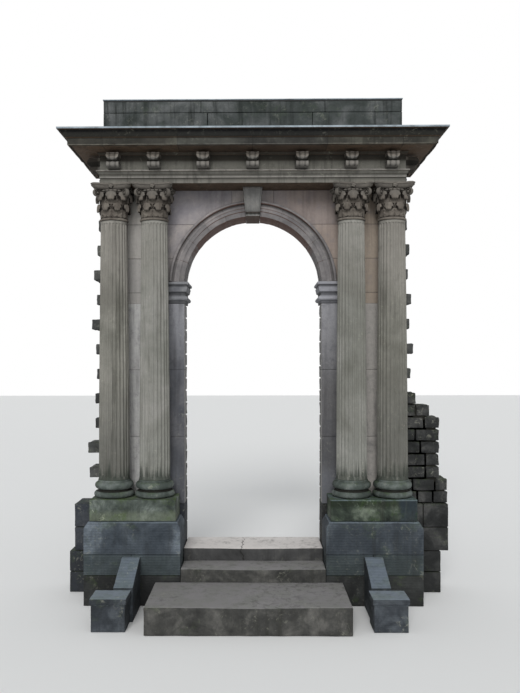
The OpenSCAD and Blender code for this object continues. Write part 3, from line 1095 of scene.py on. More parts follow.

# In these finishes top paints light on upward faces, under paints shade on downward faces, reveal paints
# light on the archway's sides.
FINISHES = (
    Stone("attic", "slate_grey_stone", ((36, 41, 38), (56, 60, 59), (85, 87, 87)), streak=1.0,
        streak_tone=(22, 26, 24), lichen=0.15, moss=0.25, moss_tone=(70, 84, 62), patch=2.2, crevice=0.35),
    Stone("cornice", "dark_stone", ((32, 32, 30), (49, 48, 45), (76, 76, 70)), streak=0.6, under=UNDERSIDE_SHADE,
        lichen=0.12, moss=0.1, moss_tone=(58, 66, 42),
        joints=Joints(0.9, 2.0, 5.0, 0.45, 0.003, (30, 29, 27)),
        zones=(
            # Painted shade on the cyma, darkest in a painted shadow line under the cover, and a painted
            # highlight along the lower edge of the face.
            Zone(HEIGHT, 5.652, 5.664, (34, 34, 32), 0.85, 0.004),
            Zone(HEIGHT, 5.664, 5.735, (16, 16, 16), 0.8, 0.006),
            Zone(HEIGHT, 5.706, 5.720, (3, 3, 4), 0.92, 0.001),
            Zone(HEIGHT, 5.592, 5.582, (104, 102, 96), 0.6, 0.006))),
    Stone("frieze", "ashlar", ((63, 63, 58), (83, 82, 76), (109, 107, 99)), streak=0.5, under=UNDERSIDE_SHADE,
        lichen=0.2,
        zones=(
            # Bands on the architrave's crown: painted highlights, a painted shadow line and a shaded band,
            # and a lighter tone below.
            Zone(HEIGHT, 5.259, 5.255, (122, 119, 113), 0.5, 0.001),
            Zone(HEIGHT, 5.251, 5.254, (38, 36, 34), 0.6, 0.001),
            Zone(HEIGHT, 5.259, 5.262, (121, 118, 113), 0.85, 0.001),
            Zone(HEIGHT, 5.276, 5.286, (77, 76, 71), 0.85, 0.002),
            Zone(HEIGHT, 5.334, 5.338, (126, 123, 118), 0.85, 0.001),
            Zone(HEIGHT, 5.364, 5.374, (99, 98, 91), 0.85, 0.002),
            # Painted shadow of the cornice on the top of the frieze.
            Zone(HEIGHT, 5.452, 5.486, (46, 40, 33), 0.85, 0.008))),
    Stone("console", "ashlar", ((86, 80, 74), (106, 100, 93), (128, 122, 114)), streak=0.25, crevice=0.8,
        patch=4.0,
        zones=(
            # Painted light on the lower part of each console and painted shade on the side consoles.
            Zone(HEIGHT, 5.478, 5.468, (108, 107, 104), 0.6, 0.002),
            Zone(SPREAD, 1.92, 1.96, (48, 43, 38), 0.85, 0.01))),
    Stone("capital", "ashlar", ((79, 73, 67), (99, 93, 86), (119, 113, 104)), streak=0.15, lichen=0.2,
        crevice=1.0, crevice_tone=(22, 18, 14), patch=3.0,
        zones=(Zone(HEIGHT, 4.98, 5.08, (90, 88, 84), 0.5, 0.06),)),
    Stone("shaft", "ashlar", ((98, 98, 91), (117, 117, 111), (136, 135, 130)), streak=0.4,
        streak_tone=(58, 58, 50), lichen=0.2, crevice=0.8, patch=1.1, mottle=0.3,
        zones=(
            Zone(HEIGHT, 3.5, 4.5, (144, 141, 135), 0.5, 0.2),
            Zone(HEIGHT, 2.2, 1.9, (136, 137, 132), 0.4, 0.2), MOSS_FOOT)),
    Stone("outer_shaft", "ashlar", ((92, 91, 84), (111, 110, 103), (132, 130, 123)), streak=0.5,
        streak_tone=(54, 54, 47), lichen=0.2, crevice=0.8, patch=1.1, mottle=0.3,
        zones=(
            Zone(HEIGHT, 3.3, 4.5, (134, 130, 124), 0.6, 0.2),
            Zone(HEIGHT, 3.1, 1.9, (88, 88, 84), 0.68, 0.2), MOSS_FOOT)),
    Stone("wall", "wall_stone", ((57, 58, 63), (70, 72, 77), (92, 92, 95)), streak=0.45,
        streak_tone=(44, 43, 45), lichen=0.15, under=(84, 70, 62), reveal=(153, 151, 148),
        zones=(
            Zone(SIDE, 0.1, 0.6, (96, 94, 93), 0.6, 0.1),
            Zone(HEIGHT, 2.5, 3.7, (142, 142, 146), 0.6, 0.2),
            Zone(HEIGHT, 2.5, 1.8, (60, 62, 66), 0.4, 0.2),
            Zone(HEIGHT, 1.7, 1.5, (90, 92, 97), 0.6, 0.1),
            # Painted light on the wall strip between the paired columns, dimmer from x 1.4 on the right.
            Zone(SPREAD, 1.34, 1.46, (172, 171, 169), 0.9, 0.03),
            Zone(SIDE, 1.30, 1.40, (134, 130, 125), 0.85, 0.03), BROKEN_END)),
    Stone("spandrel", "ashlar", ((108, 105, 110), (128, 124, 126), (146, 140, 138)), streak=0.35,
        streak_tone=(74, 68, 68), lichen=0.15, under=(84, 70, 62), mottle=0.2,
        joints=Joints(0.9, 0.44, 4.755, 0.72, 0.0035, (66, 62, 60)), rear=(50, 49, 46),
        zones=(
            Zone(SIDE, 0.1, 0.6, (135, 121, 111), 0.7, 0.3),
            # Painted light on the strip between the paired capitals, dimmer from x 1.4 on the right.
            Zone(SPREAD, 1.34, 1.46, (152, 150, 147), 0.85, 0.03),
            Zone(SIDE, 1.30, 1.40, (132, 120, 108), 0.85, 0.03), BROKEN_END)),
    Stone("archivolt", "ashlar", ((89, 86, 87), (107, 104, 104), (129, 124, 123)), streak=0.25, lichen=0.2,
        rear=(82, 81, 77), under=(92, 70, 63), under_from=0.4, patch=2.4),
    Stone("impost", "ashlar", ((92, 93, 97), (112, 113, 116), (134, 134, 136)), streak=0.3, lichen=0.2,
        crevice=0.72, crevice_tone=(26, 26, 28), patch=3.0, rear=(84, 83, 80),
        zones=(Zone(SIDE, 0.2, 0.8, (146, 146, 152), 0.6, 0.1),)),
    Stone("keystone", "ashlar", ((90, 90, 89), (109, 108, 106), (130, 129, 125)), streak=0.2, lichen=0.2,
        moss=0.3, moss_tone=(96, 104, 84), under=(74, 58, 50)),
    Stone("base", "slate_grey_stone", ((45, 51, 48), (66, 73, 69), (98, 104, 101)), moss=0.25, streak=0.3,
        lichen=0.3, crevice=1.0, patch=3.0),
    Stone("plinth", "slate_grey_stone", ((42, 48, 44), (75, 82, 77), (126, 132, 128)), moss=0.75,
        moss_tone=(74, 92, 50), streak=0.5, lichen=0.7, lichen_tone=(142, 148, 130), patch=3.2,
        mottle=0.55,
        zones=(Zone(HEIGHT, 1.17, 1.09, (98, 105, 88), 0.45, 0.05),)),
    Stone("right_plinth", "slate_grey_stone", ((20, 26, 22), (50, 58, 50), (96, 104, 92)), moss=0.75,
        moss_tone=(50, 70, 28), streak=0.5, lichen=0.6, lichen_tone=(120, 130, 116), patch=3.6, mottle=0.6,
        zones=(
            Zone(HEIGHT, 1.16, 1.23, (22, 30, 18), 0.78, 0.06),
            Zone(SIDE, 1.76, 1.82, (32, 40, 47), 0.85, 0.05),
            # Painted light along the upper edge.
            Zone(HEIGHT, 1.268, 1.280, (96, 108, 112), 0.7, 0.01))),
    Stone("pedestal", "slate_grey_stone", ((43, 49, 55), (68, 75, 82), (104, 112, 120)), moss=0.18,
        streak=0.5, lichen=0.2, top=(86, 95, 102), tooling=1.5, patch=2.2, mottle=0.55,
        zones=(
            Zone(SIDE, 0.2, 1.2, (33, 37, 41), 0.6, 0.4),
            Zone(HEIGHT, 0.66, 0.60, (54, 62, 58), 0.5, 0.03),
            # Painted light along the upper edge, where the top falls away.
            Zone(HEIGHT, 1.000, 1.014, (112, 122, 131), 0.7, 0.012))),
    Stone("footing", "dark_stone", ((22, 23, 23), (34, 35, 35), (54, 56, 55)), moss=0.25, streak=0.3,
        lichen=0.15, tooling=0.9, mottle=0.5),
    Stone("cheek", "slate_grey_stone", ((32, 36, 39), (46, 51, 55), (71, 76, 81)), moss=0.15, streak=0.3,
        lichen=0.3, top=(101, 110, 120), tooling=0.6, patch=4.0, mottle=0.5),
    Stone("cheek_block", "slate_grey_stone", ((34, 38, 41), (48, 52, 57), (73, 78, 83)), moss=0.2,
        streak=0.3, lichen=0.3, top=(123, 132, 141), tooling=0.6, patch=4.0, mottle=0.5),
    Stone("step", "pale_stone", ((34, 34, 33), (54, 54, 52), (83, 82, 79)), streak=0.5, lichen=0.18,
        moss=0.12, top=(131, 129, 129), rough=0.75, mottle=0.55, patch=3.0),
    Stone("threshold", "pale_stone", ((36, 36, 36), (58, 58, 58), (90, 89, 86)), streak=0.6, lichen=0.1,
        top=(220, 215, 211), rough=0.72, crack=-0.13),
    Stone("rubble", "rough_stone", ((23, 24, 24), (38, 39, 39), (67, 67, 66)), streak=0.3, lichen=0.25,
        moss=0.2, crevice=1.0, grain=1.0, patch=4.0, mottle=0.5,
        zones=(
            Zone(SIDE, 0.0, -1.0, (50, 55, 64), 0.6, 0.2),
            Zone(HEIGHT, 0.7, 0.4, (30, 31, 31), 0.45, 0.1))),
    Stone("rear_wall", "rough_stone", ((48, 49, 49), (66, 67, 66), (92, 92, 89)), streak=0.35, lichen=0.3,
        moss=0.15, crevice=1.0, grain=1.0, patch=2.4, mottle=0.5),
    SheetMetal("sheet", "metal_cover", (92, 102, 109), (128, 138, 145), (60, 68, 71)),
)
"""The finishes of this arch."""


# Making pieces


def add_object(name: str, data: bpy.types.ID) -> bpy.types.Object:
    """Puts an object with that data into the scene, at the origin.

    Args:
        name: its name.
        data: its mesh, light or camera.

    Returns:
        The object.
    """
    obj = bpy.data.objects.new(name, data)
    bpy.context.scene.collection.objects.link(obj)
    return obj


class Workshop:
    """Turns patches into pieces of the object and dresses nodes that stay."""

    def __init__(self) -> None:
        """Builds every finish."""
        self.materials = {finish.name: finish.build() for finish in FINISHES}
        self.slots = {finish.name: finish.slot for finish in FINISHES}
        self.triangles = 0

    def piece(self, name: str, patch: Patch, finish: str, *nodes: str, sharp: float = 38.0) -> None:
        """Makes one piece from a patch, riding on the one body of the arch.

        Args:
            name: name of the piece.
            patch: its surface.
            finish: name of its finish.
            nodes: nodes of the model that it stands for.
            sharp: edges that turn by more degrees stay sharp.
        """
        mesh = bpy.data.meshes.new(name)
        loops = np.concatenate([patch.quads.ravel(), patch.tris.ravel()]).astype(np.int32)
        counts = np.concatenate([np.full(len(patch.quads), 4), np.full(len(patch.tris), 3)])
        mesh.vertices.add(len(patch.points))
        mesh.vertices.foreach_set("co", patch.points.astype(np.float32).ravel())
        mesh.loops.add(len(loops))
        mesh.loops.foreach_set("vertex_index", loops)
        mesh.polygons.add(len(counts))
        mesh.polygons.foreach_set("loop_start", (np.cumsum(counts) - counts).astype(np.int32))
        mesh.polygons.foreach_set("use_smooth", np.ones(len(counts), bool))
        mesh.update(calc_edges=True)
        mesh.validate()
        mesh.set_sharp_from_angle(angle=math.radians(sharp))
        mesh.attributes.new("crevice", "FLOAT", "POINT").data.foreach_set(
            "value", patch.crevice.astype(np.float32))
        mesh.materials.append(self.materials[finish])
        obj, slot = add_object(name, mesh), self.slots[finish]
        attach(obj, "root")
        if nodes:
            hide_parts(*nodes)
        triangles = 2 * len(patch.quads) + len(patch.tris)
        self.triangles += triangles
        LOG.info("%s: %d triangles, stands for %s", name, triangles, ", ".join(nodes) or "nothing")

    def dress(self, node: str, finish: str) -> None:
        """Gives a node that stays its finish.

        Args:
            node: the node.
            finish: name of the finish.
        """
        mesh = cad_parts[node].data
        mesh.materials.clear()
        mesh.materials.append(self.materials[finish])
        LOG.info("%s: dressed with the %s finish", node, finish)


# The order of the columns


@dataclass
class Capital:
    """Leafy capital: a ring, a bell, two rows of leaves, corner scrolls and a hollow-sided slab."""

    height: float
    neck: float = 0.165
    ring: float = 0.018
    slab_share: float = 0.84
    half: float = 0.251
    leaf_lines: int = 32
    bent: float = 0.5

    def leaf(self, rise: float, foot_r: float, tip_r: float, half_w: float, droop: float) -> Patch:
        """One leaf that stands against the bell and curls over.

        Along the leaf the middle line rises straight and then turns over half an ellipse. Across it the
        width is a bell curve with scalloped edges, and the face has a midrib and slanting grooves.
        The back is the face moved in along its normal, thinner towards the edges.

        Args:
            rise: height of the leaf.
            foot_r: radius at its foot.
            tip_r: greatest radius of the curl.
            half_w: half of its greatest width.
            droop: upright half axis of the ellipse.

        Returns:
            The leaf about angle zero, foot at height zero.
        """
        lean = 0.010
        curl = (tip_r - foot_r - lean) / 2
        v = np.linspace(0, 1, self.leaf_lines)[:, None]
        u = np.linspace(-1, 1, 15)[None, :]
        straight = ease(v, 0, self.bent)
        over = ease(v, self.bent, 1 - self.bent)
        turn = np.radians(180 - 225 * over)
        shrink = 1 - 0.25 * over
        out = foot_r + lean + curl + curl * shrink * np.cos(turn)
        r = np.where(v < self.bent, foot_r + lean * straight**2, out)
        z = np.where(v < self.bent, (rise - droop) * straight, rise - droop + droop * shrink * np.sin(turn))
        body = 0.84 + 0.16 * np.sin(math.pi * ease(v, 0, 0.8)) - 0.30 * ease(v, 0.8, 0.2) ** 1.5
        scallop = 0.86 + 0.14 * np.abs(np.sin(5 * math.pi * v + 0.4)) ** 0.7
        width = half_w * body * scallop
        groove = 0.5 + 0.5 * np.cos(2 * math.pi * (5 * v + 0.13 - 0.9 * np.abs(u)))
        rib = hump(u, 0, 0.13)
        ribbing = 0.0055 * rib - 0.006 * groove * np.abs(u) ** 0.6 * (1 - rib)
        lift = 0.010 * np.abs(u) ** 2.5
        bend = ease(v, 0.85 * self.bent, 0.1)
        along_r, along_z = np.gradient(r, axis=0), np.gradient(z, axis=0)
        length = np.maximum(np.hypot(along_r, along_z), 1e-9)
        out_r, out_z = along_z / length, -along_r / length
        thick = 0.011 * (1 - 0.7 * np.abs(u) ** 2)

        def sheet(depth: np.ndarray) -> np.ndarray:
            """Points of the leaf at a distance out along the normal of its middle line.

            Args:
                depth: the distance.

            Returns:
                (lines, points of a line, 3).
            """
            radius, level = r + out_r * depth, z + out_z * depth
            angle = u * width / (foot_r + 0.4 * (np.maximum(r, foot_r) - foot_r))
            return spread(radius * np.cos(angle), radius * np.sin(angle), level)

        face = sheet((1 - bend) * ribbing + lift)
        back = sheet((1 - 2 * bend) * ribbing + lift - thick)[:, ::-1]
        points = np.concatenate([face, back[:, 1:-1]], axis=1)
        # Crevice for painted shade: grooves, the foot and the face's turned-over underside; the back where
        # it stands against the bell, and grooves and tip of the curl.
        veins = 0.42 * groove * (1 - rib) * np.abs(u) ** 0.5
        inner = veins + 0.8 * hump(v, 0, 0.06) + 0.9 * bend
        outer = 0.8 * (1 - bend) + bend * (veins[:, 1:-1] + 0.5 * ease(v, 0.92, 0.06))
        return tube(points, np.clip(np.concatenate([inner, outer], axis=1), 0, 1))

    def scroll(self, line: np.ndarray, half_w: np.ndarray, half_t: np.ndarray) -> Patch:
        """A ribbon along a path, with a rounded section of eight points.

        Args:
            line: (radius, height) of each point of the path.
            half_w, half_t: half of the width and of the thickness there.

        Returns:
            The ribbon.
        """
        way = unit(np.gradient(line, axis=0))
        side = np.stack([-way[:, 1], way[:, 0]], axis=1)
        a = np.radians(np.arange(0, 360, 45) + 22.5)
        across, thick = (np.sign(wave) * np.abs(wave) ** 0.5 for wave in (np.cos(a), np.sin(a)))
        rz = line[:, None, :] + side[:, None, :] * (half_t[:, None] * thick)[:, :, None]
        # The inner side of the ribbon gets crevice, for painted shade.
        return tube(spread(rz[..., 0], half_w[:, None] * across, rz[..., 1]), np.where(thick < 0, 0.5, 0.0))

    def wound(
        self, start: tuple[float, float], lift: tuple[float, float], stem: int, eye: np.ndarray,
        radius: np.ndarray, turn: np.ndarray,
    ) -> tuple[np.ndarray, np.ndarray]:
        """Path of a scroll: a stem, which is a curve drawn towards one point, then a spiral.

        Args:
            start: foot of the stem.
            lift: point that the stem is drawn towards.
            stem: points of the stem.
            eye: middle of the spiral.
            radius, turn: distance from the eye and angle of each point of the spiral.

        Returns:
            The path, and how far along it each point lies, from 0 to 1.
        """
        spiral = eye + radius[:, None] * np.stack([np.cos(turn), np.sin(turn)], axis=1)
        k = np.linspace(0, 1, stem + 1)[:-1, None]
        foot = (1 - k) ** 2 * np.array(start) + 2 * k * (1 - k) * np.array(lift) + k**2 * spiral[0]
        line = np.concatenate([foot, spiral])
        return line, np.linspace(0, 1, len(line))

    def corner_scroll(self) -> Patch:
        """Scroll under a horn: a stem that rises from the bell and winds twice round its eye.

        Returns:
            The scroll in the plane of the X axis.
        """
        z_top = self.slab_share * self.height
        eye = np.array([0.252, z_top - 0.043])
        t = np.linspace(0, 1, 60)
        line, share = self.wound(
            (0.150, 0.52 * self.height), (0.165, z_top - 0.004), 13, eye,
            0.043 * (1 - t) ** 0.8 + 0.006, np.radians(100 - 760 * t))
        parts = [self.scroll(line, 0.026 - 0.004 * share, 0.0065 - 0.002 * share)]
        ball = [(0.009, -0.026), (0.012, -0.016), (0.012, 0.016), (0.009, 0.026)]
        for profile, half, segments in ((ball, 0.027, 14), ([(0.040, -0.017), (0.040, 0.017)], 0.017, 28)):
            disc = lathe([(0.0005, -half), *profile, (0.0005, half)], segments)
            x, y, z = disc.points.T
            disc.points = np.stack([x + eye[0], z, y + eye[1]], axis=1)
            parts.append(disc.outward())
        # The disc behind the spiral is painted in shade by crevice.
        parts[-1].crevice[:] = 0.8
        return join(parts)

    def face_scroll(self, hand: int) -> Patch:
        """Small scroll that lies on a face of the bell, under the flower.

        Args:
            hand: -1 or 1, the side of the flower.

        Returns:
            The scroll.
        """
        z_top = self.slab_share * self.height
        t = np.linspace(0, 1, 34)
        line, share = self.wound(
            (0.070, 0.50 * self.height), (0.068, z_top - 0.035), 9, np.array([0.028, z_top - 0.030]),
            0.024 * (1 - t) ** 0.9 + 0.004, np.radians(60 + 560 * t))
        band = self.scroll(line, 0.014 - 0.004 * share, np.full(len(line), 0.004))
        x, y, z = band.points.T
        band.points = np.stack([0.186 + y, hand * x, z], axis=1)
        return band.outward()

    def slab(self) -> Patch:
        """Top slab: four hollow sides and cut horns, moulded up its edge.

        Returns:
            The slab in place over the bell.
        """
        hollow = 1.55 * self.half
        centre = self.half + hollow - 0.17 * self.half
        reach = math.sqrt(hollow**2 - (centre - self.half) ** 2)
        y = np.linspace(-reach, reach, 21)
        side = np.stack([centre - np.sqrt(hollow**2 - y**2), y], axis=1)
        horn = 2.62 * self.half / math.sqrt(2) - self.half
        corner = np.array([[self.half, horn], [horn, self.half]])
        quarter = np.concatenate([side, corner])
        plan = np.concatenate([
            quarter @ np.array([[math.cos(q), math.sin(q)], [-math.sin(q), math.cos(q)]])
            for q in np.radians([0, 90, 180, 270])])
        z0, h = self.slab_share * self.height, (1 - self.slab_share) * self.height
        profile = [(0.040, 0), (0.034, 0), (0.030, 0.12 * h), (0.012, 0.42 * h), (0.004, 0.5 * h),
                   (0.004, 0.58 * h), (0.010, 0.60 * h), (0.002, 0.72 * h), (0, 0.84 * h),
                   (0.003, h), (0.010, h)]
        o = Outline.soft([(-x, y) for x, y in profile], 0.002)
        x, y = (plan[None] * (1 + o.points[:, :1, None] / 0.23)).transpose(2, 0, 1)
        # The set-back lower part and the inner corners get crevice, for painted shade.
        deep = np.maximum((o.points[:, 0] < -0.02) * 0.5, 0.7 * o.hollow)[:, None]
        return tube(spread(x, y, z0 + o.points[:, 1:]), deep, o.edge[:, None])

    def flower(self) -> Patch:
        """Flower in a hollow side: a dome whose radius swells into five petals.

        Returns:
            The flower on the X axis.
        """
        a = turns(40)[None, :]
        t = np.linspace(0, 1, 9)[:, None]
        petal = 0.72 + 0.28 * np.abs(np.cos(2.5 * a))
        r = 0.036 * np.sin(0.5 * math.pi * t) * (1 - (1 - petal) * t)
        out = 0.20 + 0.034 * np.cos(0.5 * math.pi * t) ** 0.7 - 0.008 * (t > 0.15) * (t < 0.4)
        # Painted shade between the petals and round the flower's rim.
        deep = np.clip(0.7 * (1 - petal) / 0.28 * t + t**6, 0, 1)
        return tube(spread(out, r * np.cos(a), 0.92 * self.height + r * np.sin(a)), deep)

    def bell(self) -> Patch:
        """Bell with the ring at its foot, and an egg band under the slab.

        Returns:
            The bell and the band.
        """
        top = self.slab_share * self.height
        ring = self.ring
        profile = [(0.02, 0), (self.neck, 0)] + arc(self.neck, ring, ring, -80, 80, 8) + [
            (self.neck - 0.014, 2 * ring), (self.neck - 0.018, 0.35 * self.height),
            (self.neck - 0.010, 0.6 * self.height), (self.neck + 0.006, 0.74 * self.height),
            (self.neck + 0.024, top), (0.02, top)]
        body = lathe(profile, 72)
        level = body.points[:, 2]
        # Crevice for painted shade: the bell behind the leaves, most just over the ring, and its foot.
        above, foot = ease(level, 1.7 * ring, 0.004), np.clip(1 - level / 0.004, 0, 1)
        body.crevice = 0.9 * foot + (0.4 + 0.5 * (level < 2.2 * ring)) * above
        a, t = turns(24 * 8)[None, :], turns(12)[:, None]
        egg = np.abs(np.cos(12 * a)) ** 0.6
        r = 0.190 + (0.006 + 0.014 * egg) * np.cos(t)
        z = top - 0.014 + 0.013 * np.sin(t)
        # Painted shade between the eggs.
        eggs = tube(spread(r * np.cos(a), r * np.sin(a), z), 0.8 * (1 - egg), ring=True)
        return join([body, eggs])

    def build(self) -> Patch:
        """All of the capital, its foot at the origin.

        Returns:
            The capital.
        """
        foot = 0.030
        low = self.leaf(0.180, self.neck - 0.002, 0.206, 0.070, 0.062).moved((0, 0, foot))
        high = self.leaf(0.325, self.neck - 0.004, 0.226, 0.082, 0.072).moved((0, 0, foot))
        parts = [self.bell(), self.slab()]
        parts += [low.turned(45 * q + 22.5) for q in range(8)]
        parts += [high.turned(45 * q) for q in range(8)]
        corner = self.corner_scroll()
        parts += [corner.turned(90 * q + 45) for q in range(4)]
        face = join([self.face_scroll(-1), self.face_scroll(1), self.flower()])
        return join(parts + [face.turned(90 * q) for q in range(4)])


@dataclass
class Column:
    """One column: base, fluted shaft and capital, on the nodes of the model."""

    name: str
    seed: int
    flutes: int = 24
    fillet: float = 0.24
    flute_depth: float = 0.015
    top_radius: float = 0.165
    plain_foot: float = 0.039
    plain_head: float = 0.030

    def part(self, word: str) -> Span:
        """Span of one part of the column."""
        return Span.of(f"{self.name}_{word}")

    def placed(self, patch: Patch, word: str) -> Patch:
        """A turned patch on the column's axis, its foot where that part begins."""
        span = self.part(word)
        return patch.moved((span.mid_x, self.part("shaft").mid_y, span.z0))

    def shaft(self) -> Patch:
        """Fluted shaft with a slight swelling.

        The radius falls from foot to head by a power of the height. A flute is a half round cut
        between two fillets, and each end of it is a quarter of a ball.

        Returns:
            The closed shaft in place.
        """
        span = self.part("shaft")
        foot_r, h = span.half_x, span.height
        low, high = self.plain_foot, h - self.plain_head
        width = 2 * math.pi * foot_r / self.flutes * (1 - self.fillet) / 2
        ends = width * (1 - np.cos(np.linspace(0, math.pi / 2, 7)))
        z = np.concatenate([
            [0, 0.012, 0.026], low + ends, np.linspace(low + width, high - width, 46)[1:-1],
            high - ends[::-1], [h - 0.024, h - 0.016, h - 0.008, h]])[:, None]
        steps = np.array([0, 0.06, 0.12, 0.17, 0.26, 0.38, 0.5, 0.62, 0.74, 0.83, 0.88, 0.94])
        share = (steps[None, :] + np.arange(self.flutes)[:, None]).ravel()
        angle = 2 * math.pi * share / self.flutes
        within = (share % 1 - self.fillet / 2) / (1 - self.fillet)
        s = np.abs(2 * within - 1)[None, :]
        inset = np.clip(np.minimum(z - low, high - z), -1, width)
        open_end = np.clip(1 - inset / width, 0, 1.2)
        hollow = np.sqrt(np.clip(1 - s**2 - open_end**2, 0, 1)) * (inset >= 0)
        radius = foot_r - (foot_r - self.top_radius) * (z / h) ** 1.6
        flare = 0.006 * np.exp(-z / 0.016) + 0.008 * np.exp(-(h - z) / 0.012)
        r = radius + flare - self.flute_depth * hollow
        points = spread(span.mid_x + r * np.cos(angle), span.mid_y + r * np.sin(angle), span.z0 + z)
        # Crevice for painted shade: in the flutes and in a thin line under the capital.
        deep = 0.30 * hollow + 0.7 * np.exp(-(h - z) / 0.006)
        patch = tube(points, deep, ((s > 0.9) & (s < 1.15) & (inset > 0)) * 1.0)
        return weather(patch, 0.0025, self.seed, 0.08, chip=0.007, chip_size=0.11)

    def base(self) -> Patch:
        """Base of two rounds and a hollow, turned and worn.

        Returns:
            The base in place.
        """
        r, h = self.part("base").half_x, self.part("base").height
        t1, t2 = 0.18 * h, 0.215 * h
        neck = self.part("shaft").half_x
        profile = [(0.02, 0), (r - t1, 0)] + arc(r - t1, t1, t1, -84, 84, 12)
        profile += arc(r - 1.1 * t1, 0.41 * h, 0.048 * h, 245, 115, 6)
        profile += arc(r - 0.009 - t2, 0.46 * h + t2, t2, -75, 84, 12)
        profile += [(neck + 0.012, 0.9 * h + 0.004), (neck + 0.012, 0.96 * h)]
        profile += [(neck + 0.003, h), (0.02, h)]
        patch = lathe(profile, 112)
        level = patch.points[:, 2]
        # Painted shade in the hollow between the rounds and along the foot.
        hollow = (level > 1.98 * t1) & (level < 0.475 * h)
        patch.crevice = np.where(hollow | (level < 0.006), 0.8, 0.0)
        return weather(self.placed(patch, "base"), 0.004, self.seed + 3, 0.09)

    def capital(self) -> Patch:
        """Capital in place over the shaft."""
        patch = self.placed(Capital(self.part("capital").height).build(), "capital")
        return weather(patch, 0.003, self.seed + 7, 0.05)

    def dress(self, shop: Workshop) -> None:
        """Adds the three pieces of the column.

        Args:
            shop: makes them.
        """
        name = self.name
        finish = "outer_shaft" if name.endswith("outer") else "shaft"
        shop.piece(f"{name}_turned_base", self.base(), "base", f"{name}_base")
        shop.piece(f"{name}_fluted_shaft", self.shaft(), finish, f"{name}_shaft", sharp=60)
        shop.piece(f"{name}_carved_capital", self.capital(), "capital", f"{name}_capital", sharp=50)


# The entablature and attic


